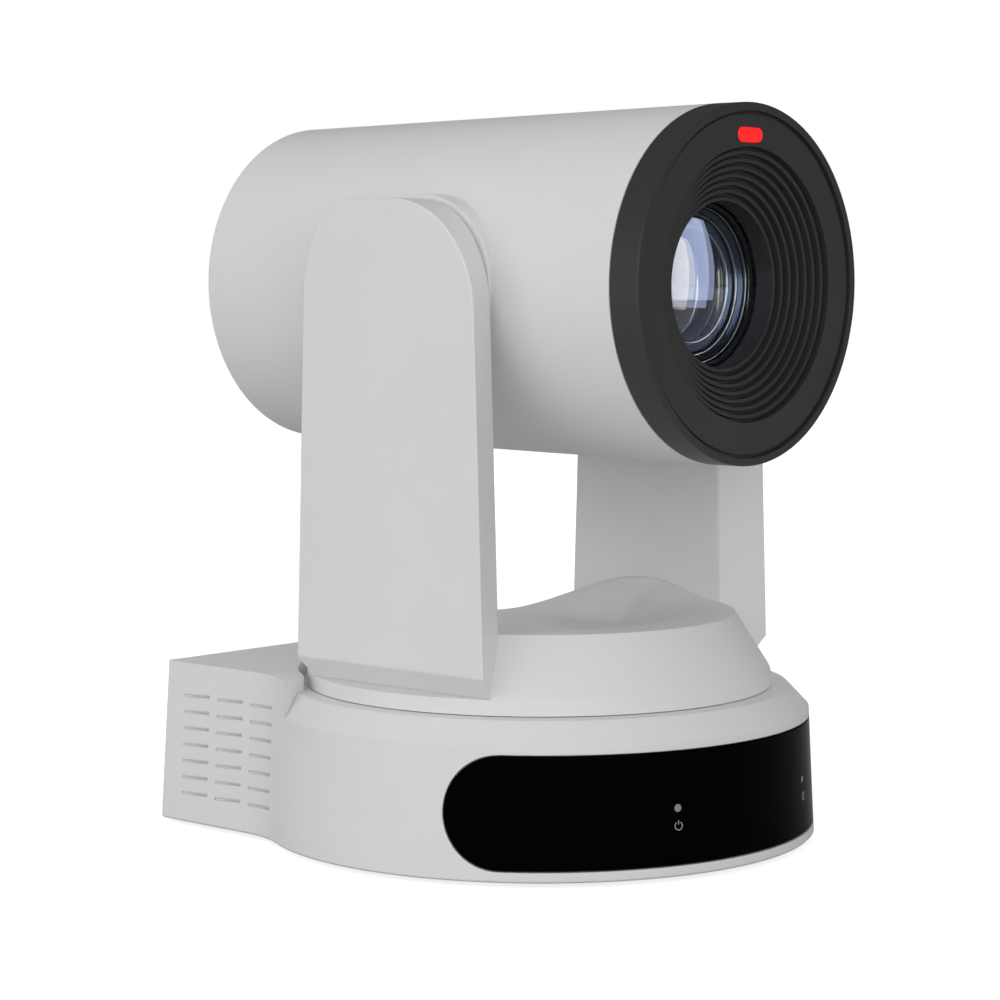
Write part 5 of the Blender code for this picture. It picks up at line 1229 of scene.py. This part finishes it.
def build_lens(base, head):
    """Front glass, its retaining ring, a second element behind it and the sliding groups in the barrel."""
    axis = head_axis(base, head)
    back_sag, rim_edge = 0.0034, 0.0034
    front = lens_profile(head.glass_radius, -head.glass_rim, head.glass_sag, back_sag, rim_edge)
    finish(turned(front, 160, axis, "front_element"), "front_glass", "head", "front_lens", slot="lens_glass")

    place, bore = -head.barrel_front, head.barrel_bore
    outer, inner, lip = bore - 0.0001, bore - 0.0046, bore - 0.0004
    ring_front, ring_foot, ring_back = place + 0.0045, place + 0.0072, place + 0.0115
    lip_edge, back_edge = 0.0002, 0.0004
    ring = rounded([(inner, ring_foot), (lip, ring_front, lip_edge), (outer, ring_front), (outer, ring_back),
                    (inner, ring_back, back_edge)], 3)
    finish(turned(ring, 128, axis, "element_ring"), "ring_band", "head", slot="black_plastic")
    bead, bead_places = 0.0005, ((0.0009, 0.0046), (0.0028, 0.0058), (0.0058, 0.0058), (0.0074, 0.0124))
    beads = [revolve(arc((bore - reach, place + depth), bead, 0.0, TURN, steps=16)[:-1], 128)
             for reach, depth in bead_places]
    finish(bare_object(moved(merged(*beads), axis), "ring_beads"), "ring_gloss", "head", slot="black_plastic")
    second_radius, second_place = bore - 0.0050, place + 0.0070
    second = lens_profile(second_radius, second_place, front_sag=0.0030, back_sag=0.0026, edge=0.0026)
    finish(turned(second, 128, axis, "second_element"), "lens_glass", "head")

    glass_radius, group_sag, group_edge = 0.0112, 0.0008, 0.0044
    hole, rim, length, soft, step = 0.0114, 0.0188, 0.005, 0.0003, 0.0002
    for name, node, y, bulge, body in (("zoom_element", "zoom_group", -head.zoom_place, 0.003, "zoom"),
                                       ("focus_element", "focus_group", head.focus_place, 0.002, "focus")):
        glass = lens_profile(glass_radius, y, bulge, group_sag, group_edge)
        finish(turned(glass, 96, axis, name), "lens_glass", body, node)
        carriage = rounded([(hole, y + step, soft), (rim, y, soft), (rim, y + length), (hole, y + length)], 3)
        finish(turned(carriage, 96, axis, name + "_carriage"), "lens_black", body, slot="black_plastic")


def build_underside(base):
    """Cross head screws and rubber feet under the base."""
    screw_height, recess, foot_edge = 0.0012, 0.0006, 0.0003
    names = ("front_left", "front_right", "rear_left", "rear_right")

    def middles(prefix):
        corners = [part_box(prefix + name) for name in names]
        return [((low.x + high.x) / 2.0, (low.y + high.y) / 2.0 - base.pan_axis, low.z)
                for low, high in corners]

    screws = grown(screw_tree(), "base_screw_heads", {
        "Head Radius": base.screw_radius, "Head Height": screw_height, "Recess": recess,
        "Material": FINISH["nickel_steel"]}, middles("base_screw_"))
    finish(screws, "nickel_steel", "base", *["base_screw_" + name for name in names])
    feet = grown(foot_tree(), "base_feet", {
        "Radius": base.foot_radius, "Height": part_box("foot_front_left")[1].z, "Edge": foot_edge,
        "Material": FINISH["black_rubber"]}, middles("foot_"))
    finish(feet, "black_rubber", "base", *["foot_" + name for name in names])


def dress_nodes():
    """Gives every CAD node that still shows the finish of its slot."""
    for part in frame["record"]["subparts"]:
        node = frame["nodes"][part["node"]]
        if not node.hide_render:
            node.data.materials.clear()
            node.data.materials.append(FINISH[part["material_slot"]])


# Studio, with the place, width and height of each soft light and of the panel that the lens reflects
SOFT_LIGHTS = {
    "key": ((-1.0, 0.10, 0.28), 0.9, 0.7),
    "fill": ((-0.60, -1.03, 0.20), 0.9, 0.6),
    "back": ((0.95, 0.75, 0.16), 0.9, 0.6),
}
LIGHT_TARGET = (0.0, 0.0, 0.09)
LENS_PANEL, LENS_PANEL_TARGET = ((0.118, -0.540, 0.245), 0.81, 0.364), (0.0, -0.06, 0.141)
CAMERA_PLACE, CAMERA_HEADING = (-0.5387, -0.4753, 0.1444), (0.7441, 0.6629, -0.0823)
SENSOR_WIDTH = 36.0
WHITE = (1.0, 1.0, 1.0, 1.0)


def placed(data, place, heading):
    """An object of the studio that looks along a heading."""
    obj = bpy.data.objects.new(data.name, data)
    obj.location = place
    obj.rotation_mode = "QUATERNION"
    obj.rotation_quaternion = Vector(heading).to_track_quat("-Z", "Y")
    bpy.context.scene.collection.objects.link(obj)
    return obj


def area_light(name, place, width, height, target, power):
    """A soft rectangular light that faces a target."""
    light = bpy.data.lights.new(name, "AREA")
    light.shape = "RECTANGLE"
    light.size, light.size_y = width, height
    light.energy = power
    return placed(light, place, Vector(target) - Vector(place))


def build_world(studio):
    """White to the camera. To all else a soft surround, brightest at the horizon, dim on one side and dimmer
    in reflections."""
    high_sky = 0.8
    world = bpy.data.worlds.new("studio")
    world.use_nodes = True
    world.node_tree.nodes.clear()
    node = partial(add_node, world.node_tree)
    heading = node("ShaderNodeSeparateXYZ", {0: node("ShaderNodeTexCoord").outputs["Generated"]})
    height = node("ShaderNodeMath", {0: heading.outputs["Z"]}, operation="ABSOLUTE")
    level = node("ShaderNodeMapRange", {"Value": height.outputs[0], "From Max": high_sky,
                                        "To Min": studio.horizon, "To Max": 1.0})
    side = node("ShaderNodeMapRange", {"Value": heading.outputs["X"], "From Min": -1.0, "From Max": 1.0,
                                       "To Min": 2.0 - studio.dim_side, "To Max": studio.dim_side})
    both = node("ShaderNodeMath", {0: level.outputs[0], 1: side.outputs[0]}, operation="MULTIPLY")
    path = node("ShaderNodeLightPath")
    seen = node("ShaderNodeMapRange", {"Value": path.outputs["Is Glossy Ray"], "To Min": studio.ambient,
                                       "To Max": studio.ambient * studio.mirrored})
    strength = node("ShaderNodeMath", {0: both.outputs[0], 1: seen.outputs[0]}, operation="MULTIPLY")
    around = node("ShaderNodeBackground", {"Color": WHITE, "Strength": strength.outputs[0]})
    backdrop = node("ShaderNodeBackground", {"Color": WHITE, "Strength": 1.0})
    mix = node("ShaderNodeMixShader", {0: path.outputs["Is Camera Ray"], 1: around.outputs[0],
                                       2: backdrop.outputs[0]})
    node("ShaderNodeOutputWorld", {0: mix.outputs[0]})
    bpy.context.scene.world = world


def floor_material(tone, lift):
    """A pale floor that shows white to the camera and still takes a soft shadow."""
    shader = Shader("studio_floor", Roughness=0.9, Specular_IOR_Level=0.1)
    cloud, dull = 3.0, 0.98
    place = shader.node("ShaderNodeTexCoord").outputs["Object"]
    drift = shader.node("ShaderNodeTexNoise", {"Vector": place, "Scale": cloud})
    shade = shader.node("ShaderNodeMapRange", {"Value": drift.outputs["Fac"], "To Min": dull, "To Max": 1.0})
    tint = shader.node("ShaderNodeVectorMath", {0: tone, "Scale": shade.outputs[0]}, operation="SCALE")
    shader.feed("Base Color", tint.outputs[0])
    path = shader.node("ShaderNodeLightPath")
    lifted = shader.node("ShaderNodeMath", {0: path.outputs["Is Camera Ray"], 1: lift}, operation="MULTIPLY")
    glow = shader.node("ShaderNodeEmission", {"Color": WHITE, "Strength": lifted.outputs[0]})
    both = shader.node("ShaderNodeAddShader", {0: shader.main.outputs[0], 1: glow.outputs[0]})
    out = next(node for node in shader.tree.nodes if node.type == "OUTPUT_MATERIAL")
    shader.tree.links.new(both.outputs[0], out.inputs["Surface"])
    return shader.material


def build_stage(studio, finishes):
    """Pale floor, soft lights, white surround and the camera."""
    reach, thickness = 6.0, 0.02
    floor = bare_object(box((-reach, reach), (-reach, reach), (-thickness, 0.0)), "studio_floor")
    floor.data.materials.append(floor_material(finishes.floor, studio.floor_lift))
    build_world(studio)
    for name, (place, width, height) in SOFT_LIGHTS.items():
        area_light(name, place, width, height, LIGHT_TARGET, getattr(studio, name))
    panel = area_light("lens_panel", *LENS_PANEL, LENS_PANEL_TARGET, studio.panel)
    panel.visible_diffuse = False
    glasses = bpy.data.collections.new("glasses")
    for name in ("front_element", "second_element", "ring_beads", "element_ring"):
        glasses.objects.link(bpy.data.objects[name])
    panel.light_linking.receiver_collection = glasses
    lens = bpy.data.cameras.new("photo_camera")
    lens.sensor_width = SENSOR_WIDTH
    lens.lens = studio.focal_length
    scene = bpy.context.scene
    scene.camera = placed(lens, CAMERA_PLACE, CAMERA_HEADING)
    scene.view_settings.view_transform = "Standard"


# Operators


class DESKCAM_OT_finishes(bpy.types.Operator):
    """Makes the finishes of the camera"""

    bl_idname = "deskcam.finishes"
    bl_label = "Finishes"

    def execute(self, context):
        make_finishes(context.scene.camera_finishes)
        return {"FINISHED"}


class DESKCAM_OT_housing(bpy.types.Operator):
    """Makes the base moulding with its louvres"""

    bl_idname = "deskcam.housing"
    bl_label = "Base moulding"

    def execute(self, context):
        build_housing(context.scene.camera_base)
        return {"FINISHED"}


class DESKCAM_OT_window(bpy.types.Operator):
    """Makes the black window, its indicators and signs"""

    bl_idname = "deskcam.window"
    bl_label = "Front window"

    def execute(self, context):
        build_window(context.scene.camera_base)
        return {"FINISHED"}


class DESKCAM_OT_underside(bpy.types.Operator):
    """Makes the screws and feet under the base"""

    bl_idname = "deskcam.underside"
    bl_label = "Screws and feet"

    def execute(self, context):
        build_underside(context.scene.camera_base)
        return {"FINISHED"}


class DESKCAM_OT_turntable(bpy.types.Operator):
    """Makes the turntable cover"""

    bl_idname = "deskcam.turntable"
    bl_label = "Turntable"

    def execute(self, context):
        scene = context.scene
        build_turntable(scene.camera_base, scene.camera_turntable, scene.camera_head)
        return {"FINISHED"}


class DESKCAM_OT_arms(bpy.types.Operator):
    """Makes the two arms"""

    bl_idname = "deskcam.arms"
    bl_label = "Arms"

    def execute(self, context):
        scene = context.scene
        build_arms(scene.camera_base, scene.camera_turntable, scene.camera_head)
        return {"FINISHED"}


class DESKCAM_OT_head(bpy.types.Operator):
    """Makes the head's drum and rear cap"""

    bl_idname = "deskcam.head"
    bl_label = "Head"

    def execute(self, context):
        build_head(context.scene.camera_base, context.scene.camera_head)
        return {"FINISHED"}


class DESKCAM_OT_bezel(bpy.types.Operator):
    """Makes the bezel, its stepped baffle and the tally light"""

    bl_idname = "deskcam.bezel"
    bl_label = "Bezel"

    def execute(self, context):
        build_bezel(context.scene.camera_base, context.scene.camera_head)
        return {"FINISHED"}


class DESKCAM_OT_lens(bpy.types.Operator):
    """Makes the lens elements and their rings"""

    bl_idname = "deskcam.lens"
    bl_label = "Lens"

    def execute(self, context):
        build_lens(context.scene.camera_base, context.scene.camera_head)
        return {"FINISHED"}


class DESKCAM_OT_dress(bpy.types.Operator):
    """Gives the remaining pieces their finishes"""

    bl_idname = "deskcam.dress"
    bl_label = "Dress other pieces"

    def execute(self, context):
        dress_nodes()
        return {"FINISHED"}


class DESKCAM_OT_stage(bpy.types.Operator):
    """Sets the floor, lights, surround and camera"""

    bl_idname = "deskcam.stage"
    bl_label = "Studio"

    def execute(self, context):
        build_stage(context.scene.camera_studio, context.scene.camera_finishes)
        return {"FINISHED"}


OPERATORS = (DESKCAM_OT_finishes, DESKCAM_OT_housing, DESKCAM_OT_window, DESKCAM_OT_underside,
             DESKCAM_OT_turntable, DESKCAM_OT_arms, DESKCAM_OT_head, DESKCAM_OT_bezel, DESKCAM_OT_lens,
             DESKCAM_OT_dress, DESKCAM_OT_stage)


class DESKCAM_PT_panel(bpy.types.Panel):
    """Lists the pieces of the desk camera"""

    bl_idname = "DESKCAM_PT_panel"
    bl_label = "Desk camera"
    bl_space_type = "VIEW_3D"
    bl_region_type = "UI"
    bl_category = "Desk camera"

    def draw(self, context):
        for operator in OPERATORS:
            self.layout.operator(operator.bl_idname)


GROUPS = {"camera_base": BaseSizes, "camera_turntable": TurntableSizes, "camera_head": HeadSizes,
          "camera_finishes": Finishes, "camera_studio": Studio}


def register():
    for group in GROUPS.values():
        bpy.utils.register_class(group)
    for name, group in GROUPS.items():
        setattr(bpy.types.Scene, name, PointerProperty(type=group))
    for operator in OPERATORS:
        bpy.utils.register_class(operator)
    bpy.utils.register_class(DESKCAM_PT_panel)


def unregister():
    bpy.utils.unregister_class(DESKCAM_PT_panel)
    for operator in reversed(OPERATORS):
        bpy.utils.unregister_class(operator)
    for name in GROUPS:
        delattr(bpy.types.Scene, name)
    for group in reversed(GROUPS.values()):
        bpy.utils.unregister_class(group)


def main():
    register()
    for make in (bpy.ops.deskcam.finishes, bpy.ops.deskcam.housing, bpy.ops.deskcam.window,
                 bpy.ops.deskcam.underside, bpy.ops.deskcam.turntable, bpy.ops.deskcam.arms,
                 bpy.ops.deskcam.head, bpy.ops.deskcam.bezel, bpy.ops.deskcam.lens, bpy.ops.deskcam.dress,
                 bpy.ops.deskcam.stage):
        make()


if __name__ == "__main__":
    main()
